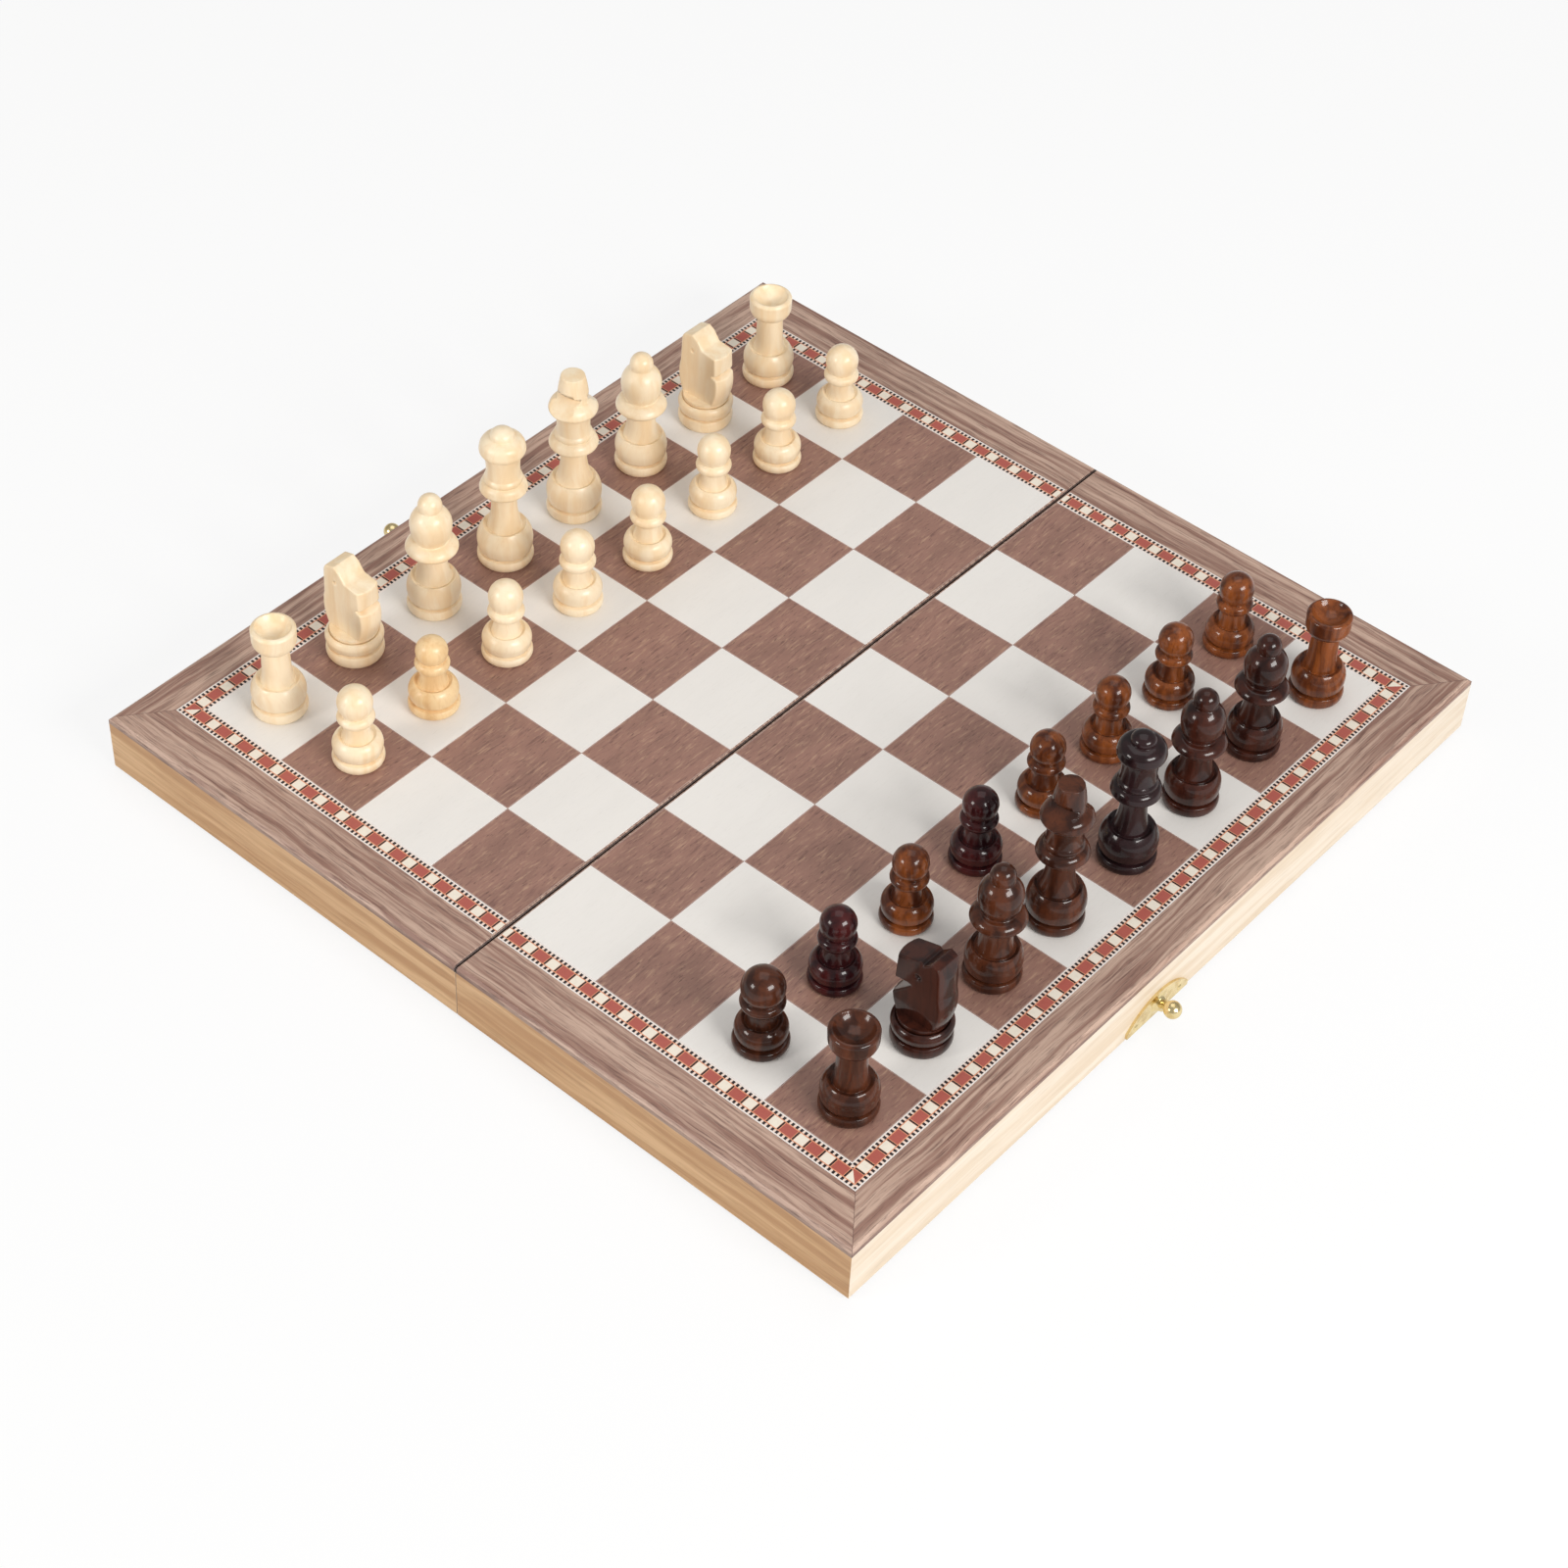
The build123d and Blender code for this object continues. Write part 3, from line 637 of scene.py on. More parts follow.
class Outline:
    """The outline of a turned man, from the middle of the foot up, in millimetres."""

    STRAIGHT = math.radians(158)
    SAME = 1e-6

    def __init__(self, low: float = 0.0) -> None:
        """Starts in the middle of the underside."""
        self.spots: list[Spot] = [(0.0, low)]

    def to(self, radius: float, height: float) -> "Outline":
        """Cuts straight to a point."""
        self.spots.append((radius, height))
        return self

    def swell(self, radius: float, height: float, bulge: float, steps: int = 8) -> "Outline":
        """Cuts a round to a point.

        Args:
            radius: The radius at its end.
            height: The height at its end.
            bulge: How far it stands out in its middle, or less than 0 for a hollow.
            steps: How many flats it is made of.

        Returns:
            The outline.
        """
        start = Vector(self.spots[-1])
        end = Vector((radius, height))
        chord = end - start
        half = chord.length / 2
        out = Vector((chord.y, -chord.x)).normalized()
        curve = (half * half + bulge * bulge) / (2 * bulge)
        centre = (start + end) / 2 - out * (curve - bulge)
        opening = math.copysign(2 * math.atan2(half, abs(curve) - abs(bulge)), bulge)
        first = start - centre
        for step in range(1, steps + 1):
            spot = centre + Matrix.Rotation(opening * step / steps, 2) @ first
            self.spots.append((max(spot.x, 0.0), spot.y))
        self.spots[-1] = (radius, height)
        return self

    def knob(self, radius: float, middle: float, rise: float, steps: int = 10) -> "Outline":
        """Cuts a rounded end that closes on the axis.

        Args:
            radius: The radius where it is widest.
            middle: The height there.
            rise: How far its top stands above that height.
            steps: How many flats it is made of.

        Returns:
            The outline.
        """
        last_radius, last_height = self.spots[-1]
        side = max(min(last_radius / radius, 1.0), 0.0)
        low = -math.acos(side) if last_height < middle else math.acos(side)
        deep = (middle - last_height) / math.sin(-low) if low < -0.01 else rise
        for step in range(1, steps + 1):
            angle = low + (math.pi / 2 - low) * step / steps
            reach = rise if angle > 0 else deep
            self.spots.append((radius * math.cos(angle), middle + reach * math.sin(angle)))
        self.spots[-1] = (0.0, middle + rise)
        return self

    def eased(self, ease: float = 0.16, steps: int = 3) -> list[Spot]:
        """Gives the outline with every sharp corner softened.

        Args:
            ease: How far the softening reaches from a corner.
            steps: How many flats a softened corner has.

        Returns:
            The radius and height of each point.
        """
        spots = [Vector(spot) for spot in self.spots]
        soft = [spots[0]]
        for before, corner, after in zip(spots, spots[1:], spots[2:]):
            down = before - corner
            up = after - corner
            if down.length < self.SAME or up.length < self.SAME:
                continue
            if down.angle(up) > self.STRAIGHT:
                soft.append(corner)
                continue
            reach_down = min(ease, down.length * 0.45)
            reach_up = min(ease, up.length * 0.45)
            start = corner + down.normalized() * reach_down
            end = corner + up.normalized() * reach_up
            for step in range(steps + 1):
                share = step / steps
                first = start.lerp(corner, share)
                soft.append(first.lerp(corner.lerp(end, share), share))
        soft.append(spots[-1])
        return [(spot.x, spot.y) for spot in soft]


def turn(name: str, spots: list[Spot], facets: int = 56) -> bpy.types.Mesh:
    """Spins an outline round the upright axis.

    Args:
        name: The mesh's name.
        spots: The outline, its first and last points on the axis.
        facets: How many facets go round.

    Returns:
        The mesh, in metres, standing on the origin.
    """
    corners = [(0.0, 0.0, spots[0][1] * MM)]
    for radius, height in spots[1:-1]:
        for facet in range(facets):
            angle = 2 * math.pi * facet / facets
            x, y = radius * MM * math.cos(angle), radius * MM * math.sin(angle)
            corners.append((x, y, height * MM))
    corners.append((0.0, 0.0, spots[-1][1] * MM))
    rings = len(spots) - 2
    faces: list[tuple[int, ...]] = []
    for facet in range(facets):
        beside = (facet + 1) % facets
        faces.append((0, 1 + beside, 1 + facet))
        for ring in range(rings - 1):
            low = 1 + ring * facets
            high = low + facets
            faces.append((low + facet, low + beside, high + beside, high + facet))
        last = 1 + (rings - 1) * facets
        faces.append((last + facet, last + beside, len(corners) - 1))
    mesh = bpy.data.meshes.new(name)
    mesh.from_pydata(corners, [], faces)
    mesh.shade_smooth()
    return mesh


@dataclass
class Man:
    """What all the men share: a turned foot with a groove, a belly and a flared neck."""

    foot_radius: float
    foot_rise: float
    belly_radius: float
    belly_height: float
    step_radius: float
    step_height: float
    root_radius: float
    foot_ease: float = 0.8
    groove_deep: float = 1.8
    groove_rise: float = 0.35
    girth: float = 1.0
    stretch: float = 1.0

    def base(self) -> Outline:
        """Cuts the foot, the groove, the belly and the step that the neck rises from."""
        radius, rise = self.foot_radius, self.foot_rise
        outline = Outline().to(radius - self.foot_ease, 0.0).swell(radius, rise * 0.5, 0.2, 4)
        outline.swell(radius - 0.4, rise, 0.15, 4)
        outline.to(radius - self.groove_deep, rise + self.groove_rise)
        outline.to(self.belly_radius - 0.7, rise + 0.75)
        outline.swell(self.belly_radius, self.belly_height, 0.2, 4)
        across = self.belly_radius - self.step_radius
        outline.swell(self.step_radius, self.step_height, 0.32 * across + 0.25, 9)
        return outline.to(self.root_radius - 0.2, self.step_height - 0.6)

    def outline(self) -> Outline:
        """Cuts the whole man."""
        raise NotImplementedError

    def shape(self, name: str, facing: int) -> bpy.types.Mesh:
        """Makes the man's mesh, standing on the origin.

        Args:
            name: The mesh's name.
            facing: 1 where the man looks to the positive x side, or -1.

        Returns:
            The mesh.
        """
        return turn(name, self.outline().eased())

    def stand(
        self, node: str, facing: int, finish: bpy.types.Material, slot: str
    ) -> bpy.types.Object:
        """Puts the man on the board in the place of its plain form.

        Args:
            node: The man's node in the frame.
            facing: The way it looks.
            finish: Its material.
            slot: Not used.

        Returns:
            The piece.
        """
        mesh = self.shape(f"{node}_turned", facing)
        low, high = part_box(node)
        spot = Vector(((low[0] + high[0]) / 2, (low[1] + high[1]) / 2, low[2]))
        grow = Matrix.Diagonal((self.girth, self.girth, self.stretch, 1.0))
        mesh.transform(Matrix.Translation(spot) @ grow)
        mesh.materials.clear()
        mesh.materials.append(finish)
        piece = put(f"{node}_turned", mesh)
        piece.modifiers.new("even_shading", "WEIGHTED_NORMAL")
        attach(piece, node)
        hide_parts(node)
        log.info("turned %s", node)
        return piece


@dataclass
class Pawn(Man):
    """A pawn: a ball on a rounded collar."""

    foot_radius: float = 7.85
    foot_rise: float = 3.0
    belly_radius: float = 7.45
    belly_height: float = 5.4
    step_radius: float = 5.7
    step_height: float = 10.0
    root_radius: float = 4.9
    neck_radius: float = 3.9
    neck_height: float = 15.2
    collar_radius: float = 5.6
    head_radius: float = 5.3
    top: float = 28.3

    def outline(self) -> Outline:
        """Cuts the whole pawn."""
        collar = self.neck_height + 1.6
        throat = collar + 2.1
        outline = self.base().swell(self.neck_radius, self.neck_height, -0.35)
        outline.swell(self.collar_radius, collar, 0.35, 5)
        outline.swell(self.collar_radius - 1.3, throat, 0.55, 5)
        middle = self.top - self.head_radius
        return outline.to(self.head_radius - 1.0, throat + 0.25).knob(
            self.head_radius, middle, self.head_radius
        )


@dataclass
class Rook(Man):
    """A rook: a barrel-shaped cup, dished on top."""

    foot_radius: float = 8.5
    foot_rise: float = 3.6
    belly_radius: float = 8.15
    belly_height: float = 6.2
    step_radius: float = 6.55
    step_height: float = 12.2
    root_radius: float = 5.4
    neck_radius: float = 4.1
    neck_height: float = 24.6
    cup_radius: float = 6.95
    lip: float = 1.3
    top: float = 32.5

    def outline(self) -> Outline:
        """Cuts the whole rook."""
        cup = self.neck_height + 0.8
        outline = self.base().swell(self.neck_radius + 0.3, self.step_height + 6.4, -0.25)
        outline.to(self.neck_radius, self.neck_height).to(self.neck_radius + 1.5, cup)
        outline.swell(self.cup_radius - 0.1, cup + 3.0, 0.35, 6)
        outline.to(self.cup_radius, self.top - 0.9)
        outline.swell(self.cup_radius - self.lip, self.top, 0.3, 5)
        return outline.swell(0.0, self.top - 3.2, -0.9, 10)


@dataclass
class Bishop(Man):
    """A bishop: a mitre with a low knob on a thick rounded collar."""

    foot_radius: float = 8.5
    foot_rise: float = 3.6
    belly_radius: float = 8.2
    belly_height: float = 6.2
    step_radius: float = 6.9
    step_height: float = 12.6
    root_radius: float = 6.0
    neck_radius: float = 4.6
    neck_height: float = 20.9
    collar_radius: float = 8.1
    mitre_radius: float = 6.4
    top: float = 44.0

    def outline(self) -> Outline:
        """Cuts the whole bishop."""
        collar = self.neck_height + 2.9
        outline = self.base().swell(self.neck_radius, self.neck_height, -0.5)
        outline.swell(self.collar_radius, collar, 0.3, 5)
        outline.swell(self.collar_radius - 0.1, collar + 1.0, 0.12, 3)
        outline.swell(5.3, collar + 3.0, 0.45, 6).to(5.0, collar + 3.3)
        outline.swell(self.mitre_radius, collar + 7.9, 0.35, 6)
        outline.swell(3.9, collar + 14.6, 1.0, 8).to(3.55, collar + 14.9)
        return outline.knob(3.75, collar + 16.3, self.top - collar - 16.3)


@dataclass
class Royal(Man):
    """What the king and the queen share: a collar, a ring and a bowl above a long neck."""

    neck_radius: float = 4.2
    neck_height: float = 25.3
    collar_radius: float = 7.4
    ring_radius: float = 6.0
    bowl_radius: float = 5.4
    disc_radius: float = 7.2
    disc_height: float = 41.3

    def stem(self) -> Outline:
        """Cuts all that lies below the widest part of the head."""
        collar = self.neck_height + 1.9
        ring = collar + 3.2
        outline = self.base().swell(self.neck_radius, self.neck_height, -0.7, 10)
        outline.swell(self.collar_radius, collar, 0.35, 5)
        outline.swell(self.collar_radius - 0.1, collar + 1.1, 0.15, 3)
        outline.swell(self.ring_radius - 0.2, ring, 0.35, 5).to(self.ring_radius, ring + 0.35)
        outline.swell(self.ring_radius - 0.1, ring + 1.5, 0.12, 3).to(self.bowl_radius, ring + 2.1)
        outline.swell(self.bowl_radius + 0.45, self.disc_height - 1.9, -0.35, 6)
        return outline.swell(self.disc_radius, self.disc_height - 0.4, 0.3, 6)


@dataclass
class Queen(Royal):
    """A queen: a thick bun with a low knob."""

    foot_radius: float = 8.85
    foot_rise: float = 3.4
    belly_radius: float = 8.6
    belly_height: float = 6.2
    step_radius: float = 6.75
    step_height: float = 13.2
    root_radius: float = 5.7
    disc_height: float = 42.4
    top: float = 49.6

    def outline(self) -> Outline:
        """Cuts the whole queen."""
        outline = self.stem().swell(self.disc_radius - 0.1, self.disc_height + 0.8, 0.1, 3)
        outline.swell(4.3, self.disc_height + 3.9, 0.8, 8).to(3.7, self.disc_height + 4.0)
        return outline.knob(3.75, self.disc_height + 4.7, self.top - self.disc_height - 4.7)


@dataclass
class King(Royal):
    """A king: a thick bun under a tapered block with a notch sawn into each side."""

    foot_radius: float = 8.8
    foot_rise: float = 3.7
    belly_radius: float = 8.6
    belly_height: float = 6.6
    step_radius: float = 6.9
    step_height: float = 13.6
    root_radius: float = 6.1
    collar_radius: float = 7.7
    disc_radius: float = 7.7
    disc_height: float = 41.4
    block_radius: float = 5.0
    block_top_radius: float = 3.75
    top: float = 53.6
    notch_reach: float = 1.35
    notch_height: float = 46.6
    notch_up: float = 3.5
    notch_down: float = 5.4
    facets: int = 96
    sharp: float = 30.0

    def outline(self) -> Outline:
        """Cuts the king without its notches."""
        outline = self.stem().swell(self.disc_radius - 0.1, self.disc_height + 0.6, 0.1, 3)
        outline.swell(self.block_radius, self.disc_height + 3.2, 0.55, 7)
        outline.swell(self.block_top_radius, self.top, 0.25, 6)
        return outline.to(0.0, self.top)

    def shape(self, name: str, facing: int) -> bpy.types.Mesh:
        """Makes the king's mesh and saws its notches."""
        solid = turn(name, self.outline().eased(), self.facets)
        outside = self.disc_radius + 2.0
        share = (outside - self.notch_reach) / (self.disc_radius - self.notch_reach)
        wedges = [
            [
                (way * self.notch_reach, self.notch_height),
                (way * outside, self.notch_height - self.notch_down * share),
                (way * outside, self.notch_height + self.notch_up * share),
            ]
            for way in (-1, 1)
        ]
        saw = plate("notch_saw", wedges, outside)
        saw.transform(Matrix.Rotation(math.pi / 2, 4, "Z"))
        return carve(name, solid, [(saw, "DIFFERENCE")], self.sharp)


def plate(name: str, outlines: list[list[Spot]], half: float) -> bpy.types.Mesh:
    """Makes flat plates from outlines in the upright plane through the axis.

    Args:
        name: The mesh's name.
        outlines: The outline of each plate.
        half: Half their thickness.

    Returns:
        The mesh of all plates.
    """
    form = bmesh.new()
    for spots in outlines:
        near = [form.verts.new((x * MM, -half * MM, z * MM)) for x, z in spots]
        far = [form.verts.new((x * MM, half * MM, z * MM)) for x, z in spots]
        form.faces.new(near)
        form.faces.new(reversed(far))
        for first in range(len(spots)):
            second = (first + 1) % len(spots)
            form.faces.new((near[second], near[first], far[first], far[second]))
    bmesh.ops.recalc_face_normals(form, faces=form.faces)
    mesh = bpy.data.meshes.new(name)
    form.to_mesh(mesh)
    form.free()
    return mesh


def carve(
    name: str,
    solid: bpy.types.Mesh,
    cuts: list[tuple[bpy.types.Mesh, str]],
    sharp: float | None,
) -> bpy.types.Mesh:
    """Cuts a solid with others, one after the other.

    Args:
        name: The new mesh's name.
        solid: What is cut.
        cuts: The cutting meshes, each with DIFFERENCE or INTERSECT.
        sharp: The angle in degrees past which an edge stays sharp, or None to leave the shading.

    Returns:
        The cut mesh.
    """
    work = put("work", solid)
    helpers = [work]
    for blade, way in cuts:
        helper = put("blade", blade)
        helpers.append(helper)
        cut = work.modifiers.new("cut", "BOOLEAN")
        cut.operation = way
        cut.solver = "EXACT"
        cut.object = helper
    graph = bpy.context.evaluated_depsgraph_get()
    graph.update()
    carved = bpy.data.meshes.new_from_object(work.evaluated_get(graph))
    carved.name = name
    for helper in helpers:
        bpy.data.objects.remove(helper)
    if sharp is not None:
        carved.shade_smooth()
        carved.set_sharp_from_angle(angle=math.radians(sharp))
    return carved


@dataclass
class Knight(Man):
    """A knight: a head sawn from a turned blank, with flat cheeks, on a turned disc."""

    foot_radius: float = 8.9
    foot_rise: float = 4.2
    belly_radius: float = 8.8
    belly_height: float = 6.6
    step_radius: float = 7.8
    step_height: float = 9.4
    root_radius: float = 7.0
    chest_radius: float = 9.2
    nape_radius: float = 8.5
    half_thick: float = 4.3
    mouth: Spot = (5.4, 22.4)
    chin: Spot = (9.0, 20.9)
    lip: Spot = (7.8, 23.0)
    nose: Spot = (8.2, 29.6)
    brow: Spot = (1.6, 30.4)
    ear_root: Spot = (-0.5, 33.4)
    ear: Spot = (-2.6, 34.7)
    crest: Spot = (-6.2, 33.6)
    nape: Spot = (-9.6, 27.5)
    eye: Spot = (-2.4, 28.6)
    eye_radius: float = 0.7
    eye_facets: int = 16
    eye_deep: float = 0.8
    outside: float = 12.0
    blank_facets: int = 48
    grain: float = 0.26
    sanding_rounds: int = 7

    def outline(self) -> Outline:
        """Cuts the disc that the head stands on."""
        waist = self.root_radius + 0.4
        outline = self.base().to(waist, self.step_height + 0.1).to(waist, self.step_height + 1.3)
        return outline.to(0.0, self.step_height + 1.5)

    def side(self) -> list[Spot]:
        """Gives the head's outline from the side, looking to the positive x side."""
        low = self.step_height
        outside = self.outside
        chin_x, chin_z = self.chin
        return [
            (-outside, low),
            (outside, low),
            (outside, chin_z - (outside - chin_x) * 0.4),
            self.chin,
            self.mouth,
            self.lip,
            self.nose,
            self.brow,
            self.ear_root,
            self.ear,
            self.crest,
            self.nape,
            (-outside, self.nape[1] - 2.0),
        ]

    def shape(self, name: str, facing: int) -> bpy.types.Mesh:
        """Saws the head, sands its edges and sets it on its disc."""
        low = self.step_height
        blank = Outline(low - 0.5).to(self.root_radius, low - 0.5).to(self.root_radius, low)
        bulge = self.chest_radius - self.nape_radius + 0.5
        above = self.ear[1] + 2.0
        blank.swell(self.nape_radius, self.mouth[1], bulge, 12)
        blank.to(self.nape_radius - 0.6, above).to(0.0, above)
        head = turn("head_blank", blank.spots, self.blank_facets)
        eye_x, eye_z = self.eye
        angles = [math.tau * step / self.eye_facets for step in range(self.eye_facets)]
        socket = [
            (eye_x + self.eye_radius * math.cos(angle), eye_z + self.eye_radius * math.sin(angle))
            for angle in angles
        ]
        profile = plate("head_side", [self.side()], self.half_thick)
        cuts = [(profile, "INTERSECT")]
        for way in (-1, 1):
            drill = plate("eye_drill", [socket], self.eye_deep)
            drill.transform(Matrix.Translation((0.0, way * self.half_thick * MM, 0.0)))
            cuts.append((drill, "DIFFERENCE"))
        sawn = put("sawn_head", carve("head", head, cuts, None))
        remesh = sawn.modifiers.new("even_faces", "REMESH")
        remesh.mode = "VOXEL"
        remesh.voxel_size = self.grain * MM
        sanding = sawn.modifiers.new("sanding", "SMOOTH")
        sanding.factor = 0.5
        sanding.iterations = self.sanding_rounds
        graph = bpy.context.evaluated_depsgraph_get()
        graph.update()
        form = bmesh.new()
        form.from_mesh(bpy.data.meshes.new_from_object(sawn.evaluated_get(graph)))
        form.from_mesh(turn("disc", self.outline().eased()))
        if facing < 0:
            bmesh.ops.rotate(form, verts=form.verts, matrix=Matrix.Rotation(math.pi, 3, "Z"))
        mesh = bpy.data.meshes.new(name)
        form.to_mesh(mesh)
        form.free()
        bpy.data.objects.remove(sawn)
        mesh.shade_smooth()
        return mesh


@dataclass
class Men:
    """The chess men of one side.

    Attributes:
        side: The start of the names of the side's nodes.
        facing: 1 where the knights look to the positive x side, or -1.
        slot: The slot of the side's finishes.
        plain: The wood of all men that have none of their own.
        finishes: The wood of single men, by node.
        forms: The form of single men, by node.
    """

    side: str
    facing: int
    slot: str
    plain: TurnedWood
    finishes: dict[str, TurnedWood]
    forms: dict[str, Man]

    KINDS = {
        "pawn": Pawn,
        "rook": Rook,
        "knight": Knight,
        "bishop": Bishop,
        "queen": Queen,
        "king": King,
    }

    def form(self, node: str) -> Man | None:
        """Gives a man's form, or None where the node is no man of this side."""
        if not node.startswith(self.side + "_"):
            return None
        if node in self.forms:
            return self.forms[node]
        kind = self.KINDS.get(node.removeprefix(self.side + "_").split("_")[0])
        return kind() if kind else None

    def stand(self) -> None:
        """Turns every man and stands it on its square."""
        plain = self.plain.make()
        made: dict[str, bpy.types.Material] = {}
        for node in sorted(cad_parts):
            man = self.form(node)
            if man is None:
                continue
            finish = plain
            if node in self.finishes:
                wood = self.finishes[node]
                if wood.name not in made:
                    made[wood.name] = wood.make()
                finish = made[wood.name]
            paint(node, finish)
            man.stand(node, self.facing, finish, self.slot)


@dataclass(frozen=True)
class Lamp:
    """A soft rectangular lamp aimed at the middle of the board, with its lengths in metres."""

    name: str
    toward: tuple[float, float, float]
    far: float
    wide: float
    tall: float
    watts: float
    tint: Colour = WHITE

    def hang(self) -> None:
        """Adds the lamp to the scene."""
        light = bpy.data.lights.new(self.name, "AREA")
        light.shape = "RECTANGLE"
        light.size = self.wide
        light.size_y = self.tall
        light.energy = self.watts
        light.color = self.tint
        lamp = put(self.name, light)
        lamp.location = Vector(self.toward).normalized() * self.far
        lamp.rotation_euler = (-lamp.location).to_track_quat("-Z", "Y").to_euler()
        log.info("hung lamp %s", self.name)


@dataclass(frozen=True)
class Studio:
    """Pale floor, white backdrop, soft lamps and the camera of the photograph.

    Attributes:
        lens: The focal length for a sensor of 36 mm.
        turn: The axis of the turn to the camera's frame, as long as its angle in radians.
        shift: The board's middle in the camera's frame, in squares.
        unit: One square in metres.
        floor_reach: Half the floor's width in metres.
        floor_seen: How much of the floor is plain white where it is looked at.
        floor_in_gloss: The same in reflections.
        surroundings: How bright the surroundings are as a source of light.
        seen_in_gloss: How bright they are in reflections.
    """

    lens: float = 77.9
    turn: tuple[float, float, float] = (2.228, 0.853, -0.301)
    shift: tuple[float, float, float] = (0.168, -0.833, 32.829)
    unit: float = BOARD.square * MM
    floor_shade: Colour = shade(243, 243, 243)
    floor_roughness: float = 0.9
    floor_reach: float = 6.0
    floor_seen: float = 0.82
    surroundings: float = 0.34
    seen_in_gloss: float = 0.4
    floor_in_gloss: float = 0.45
    lamps: tuple[Lamp, ...] = (
        Lamp("right_window", (0.831, -0.114, 0.521), 1.5, 0.75, 0.42, 16.0, (1.0, 0.99, 0.97)),
        Lamp("left_window", (-0.315, -0.85, 0.414), 1.5, 0.42, 0.34, 6.5, (1.0, 0.97, 0.93)),
        Lamp("ceiling", (-0.1, 0.15, 1.0), 2.0, 1.6, 1.6, 8.0),
    )

    def lay_floor(self) -> None:
        """Makes the floor that the board stands on."""
        shader = Shader("pale_floor")
        shader.close(self.floor_shade, self.floor_roughness)
        seen, glossy = shader.rays()
        share = (seen * self.floor_seen).at_least(glossy * self.floor_in_gloss)
        glow = shader.node("ShaderNodeEmission", None, {"Color": WHITE, "Strength": 1.0})
        mixed = shader.node(
            "ShaderNodeMixShader",
            None,
            {0: share, 1: shader.surface.outputs[0], 2: glow.outputs[0]},
        )
        shader.tree.links.new(mixed.outputs[0], shader.output.inputs["Surface"])
        far = self.floor_reach
        mesh = bpy.data.meshes.new("floor")
        corners = [(-far, -far, 0), (far, -far, 0), (far, far, 0), (-far, far, 0)]
        mesh.from_pydata(corners, [], [(0, 1, 2, 3)])
        mesh.materials.append(shader.material)
        floor = put("floor", mesh)
        log.info("laid the floor")

    def light_room(self) -> None:
        """Sets the white surroundings and hangs the lamps."""
        room = Shader.room("studio")
        seen, glossy = room.rays()
        strength = seen.at_least(glossy * self.seen_in_gloss).at_least(self.surroundings)
        glow = room.node("ShaderNodeBackground", None, {"Color": WHITE, "Strength": strength})
        room.node("ShaderNodeOutputWorld", None, {"Surface": glow.outputs[0]})
        for lamp in self.lamps:
            lamp.hang()

    def place_camera(self) -> None:
        """Puts the camera where the photograph was taken from."""
        axis = Vector(self.turn)
        to_view = Matrix.Rotation(axis.length, 3, axis.normalized())
        centre = -(to_view.transposed() @ Vector(self.shift)) * self.unit
        flip = Matrix(((1, 0, 0), (0, -1, 0), (0, 0, -1)))
        look = (flip @ to_view).transposed().to_4x4()
        data = bpy.data.cameras.new("photo_camera")
        data.lens = self.lens
        data.sensor_fit = "HORIZONTAL"
        data.sensor_width = 36.0
        camera = put("photo_camera", data)
        camera.matrix_world = Matrix.Translation(centre + Vector((0, 0, BOARD.top * MM))) @ look
        bpy.context.scene.camera = camera
        log.info("placed the camera at %s", tuple(round(part, 3) for part in centre))

    def build(self) -> None:
        """Builds the studio."""
        bpy.context.scene.view_settings.view_transform = "Standard"
        self.lay_floor()
        self.light_room()
        self.place_camera()


def dress_box() -> None:
    """Gives both halves of the box and the hinge pins their finishes."""
    panel = WalnutBorder().make()
    light = Veneer(
        "cream_veneer",
        base=shade(236, 232, 227),
        light=shade(242, 239, 235),
        stroke=shade(216, 209, 198),
        strength=0.12,
        edge=shade(250, 240, 236),
        edge_strength=0.55,
    ).make()
    dark = Veneer(
        "red_veneer",
        base=shade(156, 117, 103),
        light=shade(196, 160, 134),
        stroke=shade(110, 76, 70),
        strength=1.0,
        edge=shade(222, 200, 190),
        edge_strength=0.35,
    ).make()
    band = InlayBand().make()
    brass = Metal("brass", shade(238, 219, 168), shade(218, 192, 134), 0.24).make()
    steel = Metal("steel", shade(176, 174, 168), shade(150, 148, 142), 0.35).make()
    for half, seed in (("white", 3.0), ("black", 11.0)):
        across = Timber(
            f"{half}_end_rail_wood",
            shade(214, 176, 132),
            shade(182, 138, 94),
            Grain.ACROSS_FOLD,
            seed,
            pore=0.5,
        )
        along = Timber(
            f"{half}_side_rail_wood",
            shade(229, 216, 199),
            shade(218, 199, 175),
            Grain.ALONG_FOLD,
            seed + 5.0,
        )
        BoxHalf(half, across, along, panel, light, dark, band, brass, steel).dress()
    paint("hinge_pins", steel)


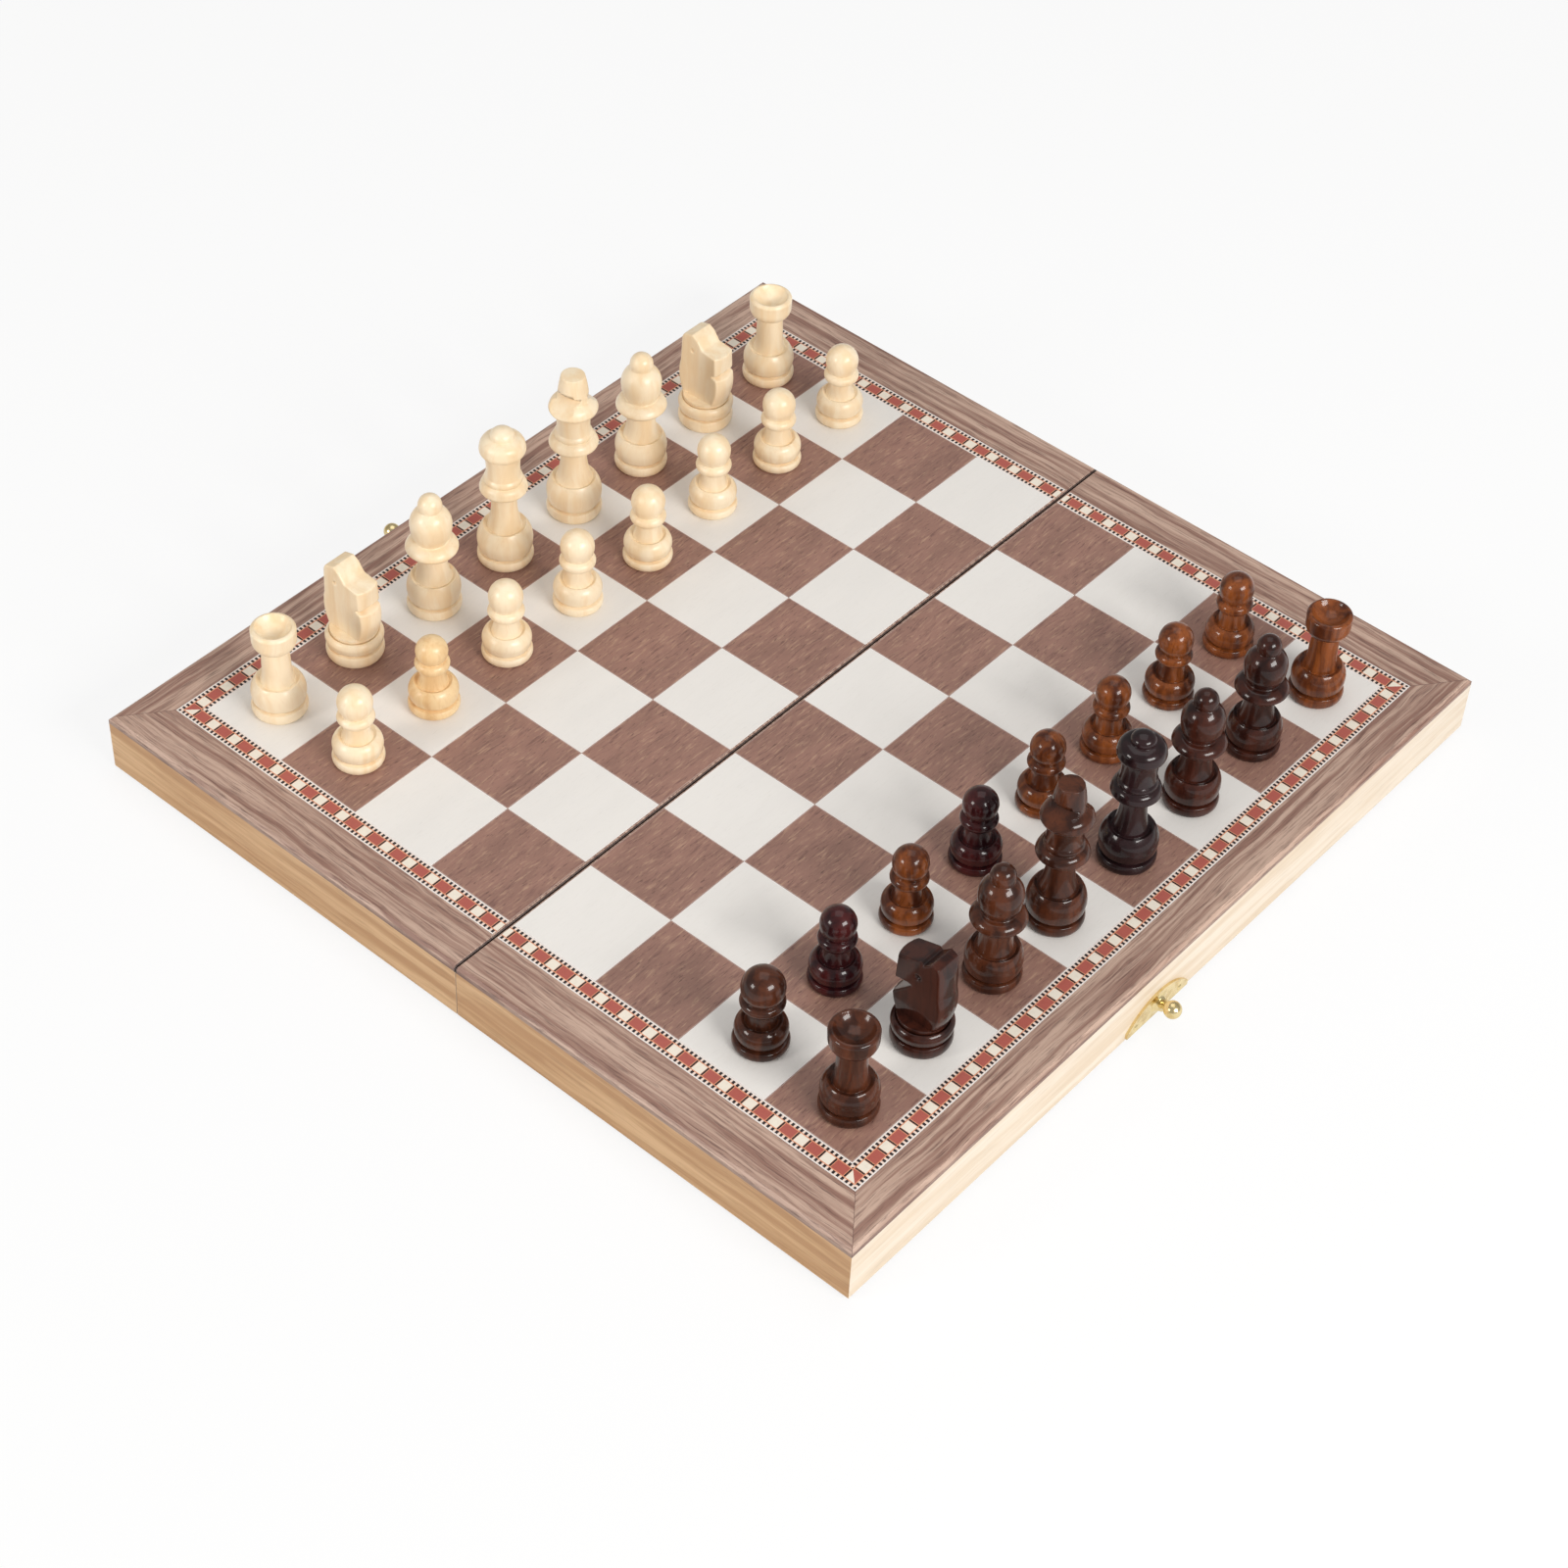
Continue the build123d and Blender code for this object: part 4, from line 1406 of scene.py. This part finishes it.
def stand_men() -> None:
    """Turns the men of both sides, each from its own wood."""
    boxwood = TurnedWood(
        "boxwood",
        shade(253, 234, 202),
        shade(246, 218, 176),
        shade(230, 192, 146),
        contrast=0.2,
        roughness=0.4,
        coat=0.3,
    )
    orange = TurnedWood(
        "boxwood_orange",
        shade(246, 214, 164),
        shade(232, 190, 134),
        shade(200, 146, 92),
        contrast=0.3,
        roughness=0.42,
        coat=0.3,
    )
    Men(
        "white",
        1,
        "boxwood",
        boxwood,
        {"white_pawn_2": orange},
        {
            "white_pawn_2": Pawn(head_radius=4.9, collar_radius=5.25, top=26.8),
            "white_queen": Queen(stretch=1.03),
            "white_rook_1": Rook(cup_radius=6.8),
        },
    ).stand()
    gloss = {"contrast": 0.45, "roughness": 0.3, "coat": 0.5, "coat_roughness": 0.08, "shine": 0.1}
    lacquer, ruddy, brown, wine, night = (
        TurnedWood(f"{name}_lacquer", shade(*pale), shade(*dark), shade(*pore), seed=seed, **gloss)
        for name, pale, dark, pore, seed in (
            ("dark", (66, 31, 21), (34, 15, 12), (16, 7, 7), 4.0),
            ("ruddy", (140, 76, 36), (74, 35, 19), (38, 17, 12), 9.0),
            ("brown", (86, 45, 27), (48, 24, 16), (32, 16, 12), 12.0),
            ("wine", (70, 24, 24), (36, 12, 16), (18, 8, 12), 14.0),
            ("night", (42, 24, 26), (26, 14, 16), (12, 7, 8), 17.0),
        )
    )
    Men(
        "black",
        -1,
        "dark_lacquer",
        lacquer,
        {
            "black_pawn_1": brown,
            **{f"black_pawn_{number}": wine for number in (2, 4)},
            **{f"black_pawn_{number}": ruddy for number in (3, 5, 6, 7, 8)},
            "black_bishop_1": brown,
            "black_rook_1": brown,
            "black_rook_2": ruddy,
            "black_king": brown,
            "black_queen": night,
        },
        {
            "black_pawn_1": Pawn(
                foot_radius=8.1, collar_radius=6.35, head_radius=6.25, neck_radius=4.6, top=28.9
            ),
            "black_rook_1": Rook(cup_radius=7.15),
            "black_knight_1": Knight(
                mouth=(1.6, 23.6),
                chin=(8.2, 16.4),
                lip=(7.6, 23.0),
                nose=(8.6, 31.4),
                brow=(-0.4, 34.4),
                ear_root=(-1.4, 33.6),
                ear=(-4.2, 36.2),
                crest=(-6.4, 35.2),
                eye=(0.0, 28.0),
                eye_radius=1.0,
            ),
        },
    ).stand()


def main() -> None:
    """Dresses the box, turns the men and builds the studio round them."""
    logging.basicConfig(level=logging.INFO, format="%(name)s: %(message)s")
    dress_box()
    stand_men()
    Studio().build()


if __name__ == "__main__":
    main()
